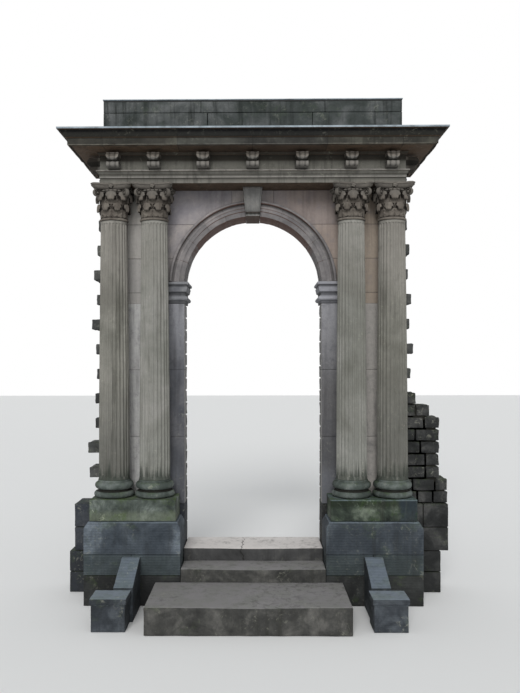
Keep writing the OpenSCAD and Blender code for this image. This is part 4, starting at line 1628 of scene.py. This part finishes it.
@dataclass
class Entablature:
    """Architrave, frieze, consoles, cornice and its metal cover."""

    soffit_out: float = 0.324
    corona_h: float = 0.085
    cyma_h: float = 0.100
    lip: float = 0.016
    cyma_out: float = 0.100
    rise: float = 0.042
    attic_in: float = -0.036
    console_w: float = 0.153
    console_h: float = 0.172
    console_out: float = 0.185
    step: float = 0.606
    end: float = 1.712
    end_in: float = 0.165

    def architrave(self) -> Patch:
        """Two flat bands and a crowning moulding.

        Returns:
            The worn architrave.
        """
        span = Span.of("architrave")
        h, out = span.height, 0.042
        profile = [(-0.3, 0), (0, 0), (0, 0.39 * h), (0.008, 0.41 * h), (0.008, 0.64 * h)]
        profile += s_curve(0.012, 0.66 * h, 0.034, 0.88 * h, 6) + [(out, 0.89 * h), (out, h), (-0.3, h)]
        return weather(moulded_ring(profile, span, out), 0.003, 31, 0.14, chip=0.007)

    def frieze(self) -> Patch:
        """Plain frieze with a small moulding under the soffit.

        Returns:
            The worn frieze.
        """
        span = Span.of("frieze")
        h, out = span.height, FRIEZE_OUT
        profile = [(-0.3, 0), (0, 0), (0, 0.84 * h)]
        profile += s_curve(0.006, 0.85 * h, out, 0.97 * h, 6) + [(out, h), (-0.3, h)]
        return weather(moulded_ring(profile, span, out), 0.003, 37, 0.14)

    def cornice(self) -> Patch:
        """Cornice: flat soffit, upright face, curved top moulding and sloping top.

        Returns:
            The worn cornice.
        """
        face, out = self.soffit_out, self.soffit_out + self.cyma_out
        top = self.corona_h + self.cyma_h
        profile = [(-0.2, 0), (face - 0.040, 0), (face - 0.038, 0.008), (face - 0.018, 0.008)]
        profile += [(face - 0.016, 0), (face, 0), (face, self.corona_h - 0.010)]
        profile += s_curve(face + 0.004, self.corona_h - 0.002, out, top - self.lip, 8)
        profile += [(out, top), (self.attic_in, top + self.rise), (-0.2, top + self.rise)]
        patch = moulded_ring(profile, Span.of("cornice"), out, Span.of("frieze").z1)
        return weather(patch, 0.004, 41, 0.16, chip=0.014, chip_size=0.12)

    def console(self) -> Patch:
        """One console, its back on the plane of the frieze and its top at the soffit.

        The front line is a large scroll, a waist and a smaller scroll. Points across the front are set
        back by shallow flutes, and each side joins the front line to the back by straight lines. The
        large scroll narrows towards the waist by the square of the way down, like a cup.

        Returns:
            The console about the origin, its front towards -Y.
        """
        h, out, w = self.console_h, self.console_out, self.console_w
        top_r, foot_r, foot_out = 0.26 * h, 0.2 * h, 0.66 * out
        line = [(out - 0.5 * top_r, 0.0)]
        line += arc(out - top_r, -top_r - 0.010, top_r, 62, -120, 14) + [(out - 1.75 * top_r, -0.585 * h)]
        line += arc(foot_out, -h + foot_r, foot_r, 70, -90, 10) + [(foot_out - 0.4 * foot_r, -h)]
        front = np.array(line)
        right = np.array([0.08, 0.2, 0.45, 0.7, 0.82, 0.9, 0.985, 1])
        across = np.concatenate([-right[::-1], right])
        dent = 0.006 * np.clip(np.cos((np.abs(across) - 0.45) * math.pi / 0.6), 0, 1)
        dent = dent * (np.abs(across) < 0.8) + 0.003 * (np.abs(across) > 0.99)
        n = len(front)
        way = unit(front - np.array([out * 0.35, -0.45 * h]))
        rz = front[:, None, :] - way[:, None, :] * dent[None, :, None]
        face = spread(across * w / 2, -rz[..., 0], rz[..., 1])
        share = np.linspace(0, 1, 6)[1:]
        back = np.stack([np.zeros(n), np.linspace(0, -h, n)], axis=1)
        web = rz[:, :1, :] * (1 - share)[None, :, None] + back[:, None, :] * share[None, :, None]
        sink = 0.004 * np.sin(math.pi * share)
        points = flanked(face, spread(-w / 2 + sink, -web[..., 0], web[..., 1]))
        down = -front[:, 1:] / h
        cup = ease(down, 0.22, 0.33) * (down < 0.6)
        points[..., 0] *= 1 - 0.3 * cup**2
        # Crevice for painted shade: the flanks, the flutes, the waist, the cup's corners and the scroll's
        # eye.
        flank = np.full(5, 0.35)
        aside = np.concatenate([np.ones(5), np.abs(across), np.ones(5)])
        corner = ease(aside + 0.75 * cup, 1.2, 0.2) * (down < 0.6)
        eye = hump(down, 0.25, 0.05) * hump(aside, 0, 0.4)
        deep = np.concatenate([flank, dent / 0.006 * 0.6, flank]) + 0.8 * hump(down, 0.585, 0.010 / h)
        return tube(points, np.clip(deep + 0.8 * corner + 0.6 * eye, 0, 1))

    def consoles(self, nodes: str) -> Patch:
        """All the consoles of one node, each where its solid stands.

        Args:
            nodes: the node.

        Returns:
            The worn consoles.
        """
        frieze, z = Span.of("frieze"), Span.of("front_consoles").z1
        front, rear, aside = frieze.y0 + FRIEZE_OUT, frieze.y1 - FRIEZE_OUT, frieze.half_x - FRIEZE_OUT
        row = [-self.end, *(k * self.step for k in range(-2, 3)), self.end]
        ends = (front + self.end_in, rear - self.end_in)
        places = {
            "front_consoles": [(0, x, front) for x in row],
            "rear_consoles": [(180, x, rear) for x in row],
            "side_consoles": [(90 * hand, hand * aside, y) for hand in (-1, 1) for y in ends],
        }
        one = self.console()
        parts = [one.turned(turn).moved((x, y, z)) for turn, x, y in places[nodes]]
        return weather(join(parts), 0.003, 47, 0.05)

    def dress(self, shop: Workshop) -> None:
        """Adds the pieces of the entablature.

        Args:
            shop: makes them.
        """
        shop.piece("architrave_moulding", self.architrave(), "frieze", "architrave")
        shop.piece("frieze_course", self.frieze(), "frieze", "frieze")
        shop.piece("cornice_moulding", self.cornice(), "cornice", "cornice")
        for nodes in ("front_consoles", "side_consoles", "rear_consoles"):
            shop.piece(f"{nodes}_carved", self.consoles(nodes), "console", nodes)
        shop.dress("cornice_flashing", "sheet")


@dataclass
class Attic:
    """Attic of two courses of large stones under a thin coping."""

    stone: float = 1.25
    joint: float = 0.281

    def coping(self) -> Patch:
        """Thin cover with its lower edge folded back, and a middle that rises a little.

        Returns:
            The cover.
        """
        span = Span.of("attic_coping")
        h = span.height
        profile = [(-0.3, 0), (-0.008, 0), (-0.008, 0.42 * h), (0, 0.5 * h), (0, 0.88 * h), (-0.3, h)]
        patch = moulded_ring(profile, span, radius=ARRIS / 2)
        # Painted shadow on the lower half, under the fold.
        patch.crevice = np.clip((span.z0 + 0.5 * h - patch.points[:, 2]) / (0.1 * h), 0, 1)
        return weather(patch, 0.002, 59, 0.3)

    def dress(self, shop: Workshop) -> None:
        """Adds the stones and the cover.

        Args:
            shop: makes them.
        """
        span = Span.of("attic")
        joint = span.z0 + self.joint
        rows = []
        for k, (y0, y1) in enumerate(((span.y0, span.mid_y), (span.mid_y, span.y1))):
            for z0, z1 in ((span.z0, joint), (joint, span.z1)):
                faces = coursed(span.x0, span.x1, z0, z1, z1 - z0, self.stone, int(40 * z0) + k)
                rows.append(in_depth(faces, y0, y1))
        patch = stones(np.concatenate(rows), 0.005, 0.008, 53, (16, 10, 8), 0.16)
        shop.piece("attic_courses", patch, "attic", "attic")
        shop.piece("attic_coping_sheet", self.coping(), "sheet", "attic_coping")


# The arch and its wall


@dataclass
class ArchRing(Half):
    """Moulded ring of wedge stones on one side of the keystone."""

    voussoirs: int = 5
    ring_w: float = 0.200
    out: float = 0.058
    wall_half: float = 0.210
    joint: float = 0.0035

    def build(self) -> Patch:
        """The ring: its section carried round the arch centre, pulled in at each radial joint.

        Returns:
            The worn ring.
        """
        r, w, d, out = Span.of("right_pier").x0, self.ring_w, self.wall_half, self.out
        section = [(r + 0.5 * w, -d), (r, -d), (r, d + 0.3 * out), (r + 0.3 * w, d + 0.3 * out)]
        section += [
            (r + 0.33 * w, d + 0.5 * out), (r + 0.5 * w, d + 0.5 * out), (r + 0.53 * w, d + 0.62 * out),
            (r + 0.66 * w, d + 0.62 * out), (r + 0.69 * w, d + 0.3 * out), (r + 0.8 * w, d + 0.3 * out)]
        section += arc(r + 0.9 * w, d + out - 0.1 * w, 0.1 * w, 170, 10, 8)
        section += [(r + w, d + out - 0.1 * w), (r + w, -d), (r + 0.52 * w, -d)]
        o = Outline.soft(section[::-1], ARRIS)
        start = math.degrees(math.asin(IMPOST_RISE / (r + 0.5 * w)))
        marks = np.linspace(start, 90 - KEY_ANGLE, self.voussoirs + 1)
        near = math.degrees(self.joint / r)
        angles = np.sort(np.concatenate(
            [marks[1:-1] - near, marks[1:-1], marks[1:-1] + near, np.linspace(marks[0], marks[-1], 60)]))
        a = np.radians(angles)[:, None]
        gap = hump(angles[:, None], marks[None, 1:-1], 0.6 * near).sum(axis=1)[:, None]
        radius, depth = o.points[None, :, 0], o.points[None, :, 1]
        groove = hump(radius - r, 0.74 * w, 0.055 * w) * (depth > d)
        radius = radius - np.sign(radius - r - w / 2) * 0.0025 * gap
        depth = depth - np.sign(depth) * 0.0025 * gap
        sign = self.side.value
        points = spread(sign * radius * np.cos(a), -depth, arch_centre() + radius * np.sin(a))
        # Painted shade in the joints, the inner corners and the groove under the outer roll.
        deep = np.clip(0.3 * gap + 0.5 * o.hollow + 0.15 * groove, 0, 1)
        return weather(tube(points, deep, o.edge), 0.003, 61 + sign, 0.12, chip=0.007)


@dataclass
class Keystone:
    """Keystone with a swelling reeded front, over a foot with a fillet."""

    foot_share: float = 0.42
    fillet: float = 0.065

    def build(self) -> Patch:
        """The keystone.

        Its front line leans forward to the top; across it the face has upright reeds, and its
        width grows with the distance from the arch centre.

        Returns:
            The closed stone.
        """
        span, wall_y = Span.of("keystone"), Span.of("left_pier").y0
        z0, z1, out = span.z0, span.z1, wall_y - span.y0
        low, band = self.foot_share * out, self.fillet * span.height
        line = [(low - 0.003, z0), (low, z0 + 0.003), (low, z0 + band - 0.002), (low - 0.002, z0 + band)]
        line += [(0.82 * low, z0 + 1.2 * band), (0.82 * low, z0 + 1.7 * band)]
        line += s_curve(low, z0 + 2.1 * band, out, z0 + 0.96 * span.height, 14)
        front, level = np.hsplit(np.array(line + [(out, z1 - 0.006), (out - 0.004, z1)]), 2)
        right = np.array([0.2, 0.31, 0.4, 0.55, 0.7, 0.8, 0.86, 0.97, 1])
        across = np.concatenate([-right[::-1], [0], right])
        reed = np.abs(np.sin((across + 0.84) / 0.56 * math.pi)) ** 0.6 * (np.abs(across) < 0.84)
        dent = 0.005 * (1 - reed) * (np.abs(across) < 0.9) + 0.003 * (np.abs(across) > 0.98)
        half = (level - arch_centre()) * math.tan(math.radians(KEY_ANGLE))
        y = wall_y - (front - dent)
        share = np.linspace(0, 1, 5)[1:]
        left = spread(-half, y[:, :1] * (1 - share) + span.y1 * share, level)
        points = flanked(spread(half * across, y, level), left)
        # Painted shade on the flanks, in the dents between the reeds, less at the foot, and in the hollow
        # over the fillet.
        flank = np.array([0.7, 0.6, 0.3, 0.0])
        deep = np.concatenate([flank[::-1], dent / 0.005 * 0.45, flank])
        deep = np.clip((level - z0) / 0.02, 0.25, 1) * deep + hump(level - z0, 1.45 * band, 0.4 * band)
        return weather(tube(points, np.clip(deep, 0, 1)), 0.003, 67, 0.09)


@dataclass
class WallHalf(Half):
    """Pier, impost, spandrel, wall plinth and broken end of one half of the wall."""

    course: float = 0.160
    beds: tuple[float, ...] = (0.0, 0.335, 0.669, 1.0)
    skin: float = 0.19
    stone: float = 0.30
    plinth_bed: float = 0.540

    def pier(self) -> Patch:
        """Dressed front stones of the pier, two in each of its courses.

        Returns:
            The worn stones.
        """
        span = self.node("pier")
        inner, outer = sorted((span.x0, span.x1), key=abs)
        split = inner + 0.36 * self.side.value
        front = np.array([
            (*sorted(pair), z0, z1) for z0, z1 in zip(self.beds[:-1], self.beds[1:])
            for pair in ((inner, split), (split, outer))])
        front[:, 2:] = span.z0 + span.height * front[:, 2:]
        boxes = in_depth(front, span.y0, span.y0 + self.skin)
        return stones(boxes, 0.004, 0.003, 70 + self.side.value, (14, 6, 30), 0.15)

    def rear_pier(self) -> Patch:
        """Rough rear stones of the pier, coursed like the broken end.

        Returns:
            The worn stones over a filling painted in full shade.
        """
        span = self.node("pier")
        seed = 72 + self.side.value
        rear = coursed(span.x0, span.x1, span.z0, span.z1, self.course, self.stone, seed + 7)
        boxes = in_depth(rear, span.y0 + self.skin, span.y1)
        return join([stones(boxes, 0.014, 0.016, seed, (7, 5, 6), 0.07, 0.012), mortar(span.box, 0.04)])

    def rear_face(self) -> Patch:
        """Rough stones over the rear of the spandrel, clear of the arch ring.

        Each course starts where a circle about the arch centre, a little wider than the ring,
        crosses the end of the course that is nearer to the centre.

        Returns:
            The worn stones.
        """
        span, impost = self.node("spandrel"), self.node("impost")
        ring = abs(Span.of("left_archivolt").x0) + 0.012
        rows = max(int(round(span.height / self.course)), 1)
        levels = np.linspace(span.z0, span.z1, rows + 1)
        faces = []
        for k, (z0, z1) in enumerate(zip(levels[:-1], levels[1:])):
            below, above = z0 - arch_centre(), z1 - arch_centre()
            nearest = min(abs(below), abs(above)) if below * above > 0 else 0.0
            start = math.sqrt(max(ring**2 - nearest**2, 0.14**2))
            if z0 < impost.z1:
                start = max(start, abs(impost.x0), abs(impost.x1))
            faces.append(coursed(start, span.outer, z0, z1, self.course, self.stone, 90 + k))
        boxes = in_depth(mirrored(np.concatenate(faces), self.side), span.y1 - 0.03, span.y1 + 0.020)
        return stones(boxes, 0.010, 0.008, 95 + self.side.value, (7, 4, 6), 0.07, 0.004)

    def impost(self) -> Patch:
        """Impost: band, round and upper band with mitred corners.

        Returns:
            The worn impost.
        """
        span = self.node("impost")
        out, h = abs(span.y0) - self.node("pier").y1, span.height
        profile = [(-0.1, 0), (0.12 * out, 0), (0.12 * out, 0.11 * h)]
        profile += arc(0.22 * out, 0.24 * h, 0.11 * h, -70, 70, 8)
        profile += [(0.14 * out, 0.38 * h), (0.14 * out, 0.5 * h)]
        profile += s_curve(0.42 * out, 0.53 * h, 0.80 * out, 0.76 * h, 6)
        profile += [(0.62 * out, 0.78 * h), (0.62 * out, 0.84 * h), (out, 0.87 * h)]
        profile += [(out, 0.97 * h), (0.9 * out, h), (-0.1, h)]
        patch = moulded_ring(profile, span, out)
        # Painted shade in the hollows of the profile.
        level = (patch.points[:, 2] - span.z0) / h
        hollows = ((0.45, 0.09), (0.05, 0.07), (0.81, 0.045))
        sunk = sum(hump(level, middle, width) for middle, width in hollows)
        patch.crevice = np.clip(np.maximum(patch.crevice, sunk), 0, 1)
        return weather(patch, 0.003, 101 + self.side.value, 0.1, chip=0.006)

    def wall_plinth(self) -> Patch:
        """Large rough stones of the wall plinth in its two courses, which end at different places.

        Returns:
            The worn stones over a filling painted in full shade.
        """
        span, bed = self.node("wall_plinth"), self.plinth_bed
        inner, outer = min(abs(span.x0), abs(span.x1)), span.outer
        low_x, high_x = (outer, outer - 0.065) if self.side is Side.LEFT else (outer - 0.098, outer)
        courses = np.concatenate([
            coursed(inner, low_x, 0, bed, 0.27, 0.5, 111, 0.2),
            coursed(inner, high_x, bed, span.z1, 0.305, 0.46, 113, 0.2)])
        behind = np.array([(inner, low_x, 0, bed), (inner, min(low_x, high_x), 0, span.z1)])
        boxes, filling = (
            in_depth(mirrored(faces, self.side), span.y0, span.y1) for faces in (courses, behind))
        blocks = stones(boxes, 0.012, 0.010, 117 + self.side.value, (8, 8, 6), 0.1)
        return join([blocks, mortar(filling)])

    def toothing(self) -> Patch:
        """Rough stones of every other course beyond the wall end, each as long as in the model.

        Returns:
            The worn stones.
        """
        span, pier = self.node("toothing"), self.node("pier")
        co = np.array([v.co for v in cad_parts[f"{self.side.word}_toothing"].data.vertices])
        left = self.side is Side.LEFT
        end = pier.x0 if left else pier.x1
        first, pitch = Span.of("left_toothing").z0, 2 * self.course
        rows = []
        for k in range(int(round((span.z0 - first) / pitch)), 24):
            z0 = first + k * pitch
            near = co[(co[:, 2] > z0 - 0.02) & (co[:, 2] < z0 + 0.02)]
            if len(near):
                reach = near[:, 0].min() if left else near[:, 0].max()
                x0, x1 = sorted((end - 0.04 * self.side.value, reach))
                rows.append((x0, x1, span.y0, span.y1, z0, z0 + self.course - 0.006))
        return stones(np.array(rows), 0.022, 0.022, 121 + self.side.value, (8, 9, 7), 0.07)

    def dress(self, shop: Workshop) -> None:
        """Adds the pieces of this half.

        Args:
            shop: makes them.
        """
        w = self.side.word
        shop.piece(f"{w}_pier_stones", self.pier(), "wall", f"{w}_pier")
        shop.piece(f"{w}_pier_rear_stones", self.rear_pier(), "rear_wall")
        shop.piece(f"{w}_rear_stones", self.rear_face(), "rear_wall")
        shop.piece(f"{w}_impost_moulding", self.impost(), "impost", f"{w}_impost")
        shop.piece(f"{w}_arch_stones", ArchRing(self.side).build(), "archivolt", f"{w}_archivolt")
        shop.piece(f"{w}_plinth_courses", self.wall_plinth(), "rubble", f"{w}_wall_plinth")
        shop.piece(f"{w}_broken_stones", self.toothing(), "rear_wall", f"{w}_toothing", sharp=60)
        shop.dress(f"{w}_spandrel", "spandrel")


@dataclass
class WallStub:
    """Broken wall that steps down from the right wall end.

    steps holds, for each step, its share of the full length and its height in courses.
    """

    course: float = 0.160
    stone: float = 0.22
    steps: tuple[tuple[float, int], ...] = ((1, 2), (0.83, 7), (0.63, 8), (0.35, 9))

    def dress(self, shop: Workshop) -> None:
        """Adds its rough stones, course by course.

        Args:
            shop: makes them.
        """
        span = Span.of("right_wall_stub")
        length, rows = span.x1 - span.x0, []
        for k in range(max(n for _, n in self.steps)):
            reach = length * max(r for r, n in self.steps if n > k)
            z0 = span.z0 + k * self.course
            end, top = span.x0 + reach, z0 + self.course
            rows.append(coursed(span.x0, end, z0, top, self.course, self.stone, 131 + k))
        boxes = in_depth(np.concatenate(rows), span.y0, span.y1)
        behind = np.array([
            (span.x0, span.x0 + length * r, span.z0, span.z0 + n * self.course) for r, n in self.steps])
        patch = join([
            stones(boxes, 0.018, 0.022, 137, (7, 9, 7), 0.08, 0.02),
            mortar(in_depth(behind, span.y0, span.y1), 0.045)])
        shop.piece("right_stub_stones", patch, "rubble", "right_wall_stub", sharp=60)


# Pedestals and steps


@dataclass
class PedestalHalf(Half):
    """Footing, pedestal and column plinth of one half."""

    wash_w: float = 0.050
    wash_h: float = 0.075
    joint: float = 0.250

    def pedestal(self) -> Patch:
        """Lower course of two stones, and an upper course whose top falls to three sides.

        Returns:
            The worn stones.
        """
        span = self.node("pedestal")
        level = span.z0 + self.joint
        upper = np.array([(span.x0, span.x1, level, span.z1)])
        low = stones(self.halves("pedestal", level), 0.006, 0.005, 149, (26, 20, 12), 0.12)
        top = stones(in_depth(upper, span.y0, span.y1), 0.006, 0.005, 151, (54, 24, 24), 0.12)
        p = top.points
        fall = ease(p[:, 2], span.z1 - self.wash_h, self.wash_h) * self.wash_w
        p[:, 0] = np.clip(p[:, 0], span.x0 + fall, span.x1 - fall)
        p[:, 1] = np.maximum(p[:, 1], span.y0 + fall)
        return join([low, top])

    def halves(self, word: str, top: float | None = None) -> np.ndarray:
        """Two stones of one course, their joint behind the cheek wall.

        Args:
            word: the node that they fill.
            top: where they end, if not at its top.

        Returns:
            Two rows for stones().
        """
        span, pedestal = self.node(word), self.node("pedestal")
        cut, z1 = self.node("cheek_coping").mid_x, span.z1 if top is None else top
        faces = np.array([(pedestal.x0, cut, span.z0, z1), (cut, pedestal.x1, span.z0, z1)])
        return in_depth(faces, span.y0, span.y1)

    def dress(self, shop: Workshop) -> None:
        """Adds the three pieces.

        Args:
            shop: makes them.
        """
        w, seed = self.side.word, 155 + self.side.value
        shop.piece(f"{w}_pedestal_stones", self.pedestal(), "pedestal", f"{w}_pedestal")
        patch = stones(self.halves("footing"), 0.008, 0.007, seed, (26, 20, 14), 0.12)
        shop.piece(f"{w}_footing_stones", patch, "footing", f"{w}_footing")
        patch = stones(self.node("base_plinth").box, 0.009, 0.007, seed + 4, (44, 22, 14), 0.1)
        finish = "plinth" if self.side is Side.LEFT else "right_plinth"
        shop.piece(f"{w}_column_plinth", patch, finish, f"{w}_base_plinth")


@dataclass
class Steps:
    """Threshold, middle step and landing."""

    wear: float = 0.012

    def slab(self, node: str, seed: int) -> Patch:
        """A long stone, its front edge trodden down in the middle.

        Args:
            node: node that it fills.
            seed: picks the wear.

        Returns:
            The worn stone.
        """
        s = Span.of(node)
        patch = stones(s.box, 0.012, 0.008, seed, (90, 30, 14), 0.16)
        x, y, z = patch.points.T
        walked = hump(x, s.mid_x, 0.45) * hump(y, s.y0, 0.10) * ease(z, s.z1 - 0.03, 0.03)
        patch.points[:, 2] -= self.wear * walked
        return patch

    def dress(self, shop: Workshop) -> None:
        """Adds the three slabs.

        Args:
            shop: makes them.
        """
        for name, node, seed, finish in (
            ("landing_stone", "landing_slab", 161, "step"),
            ("middle_step_stone", "middle_step", 163, "step"),
            ("threshold_stone", "threshold_slab", 165, "threshold"),
        ):
            shop.piece(name, self.slab(node, seed), finish, node)


@dataclass
class CheekWall(Half):
    """Sloping coping and end block beside the steps."""

    cap_h: float = 0.072
    cap_out: float = 0.014
    nose: float = 0.060
    over_block: float = 0.018
    arris: float = 0.012

    def block(self) -> Patch:
        """End block: a body under a projecting cap.

        Returns:
            The worn block.
        """
        s = self.node("cheek_block")
        o, cap_z = self.cap_out, s.z1 - self.cap_h
        boxes = np.array([
            [s.x0 + o, s.x1 - o, s.y0 + o, s.y1, s.z0, cap_z],
            [s.x0, s.x1, s.y0, s.y1, cap_z, s.z1]])
        return stones(boxes, 0.010, 0.007, 171 + self.side.value, (22, 20, 14), 0.09)

    def coping(self) -> Patch:
        """Sloping coping: its side outline, softened, carried across its width.

        The outline runs up the slope, which touches the circle of the nose, and over the nose. The
        outer points of each row are pulled in along a quarter round, so that the long edges are soft.

        Returns:
            The closed coping.
        """
        s, nose, radius = self.node("cheek_coping"), self.nose, self.arris
        block_top = self.node("cheek_block").z1 + self.over_block
        eye = (s.y1 - 0.4 * nose, s.z1 - nose)
        run, drop = eye[0] - s.y0, eye[1] - block_top
        tangent = 180 + math.degrees(math.atan2(drop, run) - math.acos(nose / math.hypot(run, drop)))
        over = np.array(arc(*eye, nose, tangent, 90, 6))
        foot = np.array([(s.y1, 0.0), (s.y0, 0.0), (s.y0, block_top)])
        slope = np.linspace(0, 1, 24)[1:-1, None]
        outline = np.concatenate([foot, foot[-1] * (1 - slope) + over[0] * slope, over, [(s.y1, s.z1)]])
        way = unit(outline - np.array([s.y1, 0.2]))
        inner = s.half_x - radius
        corner = radius * (1 - np.sin(np.radians(np.linspace(0, 90, 5))))
        across = np.sort(np.concatenate([
            -s.half_x + corner, np.linspace(-inner, inner, 12)[1:-1], s.half_x - corner[::-1]]))
        sink = radius * (1 - np.sqrt(1 - ease(np.abs(across), inner, radius) ** 2))
        yz = outline[:, None, :] - way[:, None, :] * sink[None, :, None]
        points = spread(s.mid_x + across, np.minimum(yz[..., 0], s.y1), np.maximum(yz[..., 1], 0))
        return weather(tube(points.transpose(1, 0, 2)), 0.006, 173 + self.side.value, 0.08)

    def dress(self, shop: Workshop) -> None:
        """Adds the two stones.

        Args:
            shop: makes them.
        """
        w = self.side.word
        shop.piece(f"{w}_coping_stone", self.coping(), "cheek", f"{w}_cheek_coping")
        shop.piece(f"{w}_end_block", self.block(), "cheek_block", f"{w}_cheek_block")


# Stage


@dataclass(frozen=True)
class Stage:
    """Plain pale floor, soft light and the camera at the photograph's angle."""

    frame_w: int = 520
    frame_h: int = 693
    focal_px: float = 720.0
    camera: tuple[float, float, float] = (0.027, -9.51, 2.94)
    horizon_px: float = 365.0
    centre_px: float = 247.6
    yaw: float = 0.595
    roll: float = 0.093
    sensor: float = 36.0

    def floor(self) -> None:
        """A wide pale floor at ground level."""
        half = 60.0
        mesh = bpy.data.meshes.new("floor")
        corners = [(-half, -half, 0), (half, -half, 0), (half, half, 0), (-half, half, 0)]
        mesh.from_pydata(corners, [], [(0, 1, 2, 3)])
        g = Graph("pale_floor")
        g.feed(g.shader.inputs["Base Color"], (0.80, 0.80, 0.79))
        g.feed(g.shader.inputs["Roughness"], 0.9)
        mesh.materials.append(g.material)
        obj = add_object("floor", mesh)

    def light(self) -> None:
        """Soft key from the upper left of the front, a frontal fill and an even sky."""
        for name, energy, angle, tilt, turn in (
            ("soft_key", 2.0, 26, 60, -7), ("soft_fill", 1.0, 50, 82, 8),
        ):
            lamp = bpy.data.lights.new(name, "SUN")
            lamp.energy = energy
            lamp.angle = math.radians(angle)
            add_object(name, lamp).rotation_euler = (math.radians(tilt), 0, math.radians(turn))
        world = bpy.data.worlds.new("even_sky")
        bpy.context.scene.world = world
        tree = Tree(world)
        rays = tree.add("LightPath").outputs
        direct = tree.math("MAXIMUM", rays["Is Camera Ray"], rays["Is Glossy Ray"])
        direct = tree.math("MAXIMUM", direct, rays["Is Transmission Ray"])
        sky = tree.add("Background", {"Color": (0.94, 0.97, 1.0), "Strength": 0.50})
        white = tree.add("Background", {"Color": (1, 1, 1), "Strength": 1.0})
        both = tree.add("MixShader", {0: direct, 1: sky.outputs[0], 2: white.outputs[0]})
        tree.add("OutputWorld", {"Surface": both.outputs[0]})

    def shoot(self) -> None:
        """Camera with the photograph's focal length, level, its middle set by a small shift."""
        camera, longer = bpy.data.cameras.new("camera"), max(self.frame_w, self.frame_h)
        camera.sensor_width = self.sensor
        camera.lens = self.focal_px * self.sensor / longer
        camera.shift_y = (self.horizon_px - self.frame_h / 2) / longer
        camera.shift_x = (self.frame_w / 2 - self.centre_px) / longer
        obj = add_object("camera", camera)
        obj.location = self.camera
        obj.rotation_euler = (math.radians(90), math.radians(self.roll), math.radians(self.yaw))
        bpy.context.scene.camera = obj
        bpy.context.scene.view_settings.view_transform = "Standard"


def main() -> None:
    """Builds the arch part by part."""
    logging.basicConfig(level=logging.INFO, format="%(name)s %(message)s")
    shop = Workshop()
    for k, name in enumerate(("left_outer", "left_inner", "right_inner", "right_outer")):
        Column(name, 11 + 20 * k).dress(shop)
    Entablature().dress(shop)
    Attic().dress(shop)
    shop.piece("keystone_carved", Keystone().build(), "keystone", "keystone")
    for side in Side:
        WallHalf(side).dress(shop)
        PedestalHalf(side).dress(shop)
    WallStub().dress(shop)
    Steps().dress(shop)
    for side in Side:
        CheekWall(side).dress(shop)
    stage = Stage()
    stage.floor()
    stage.light()
    stage.shoot()
    LOG.info("%d triangles in the added pieces", shop.triangles)


if __name__ == "__main__":
    main()
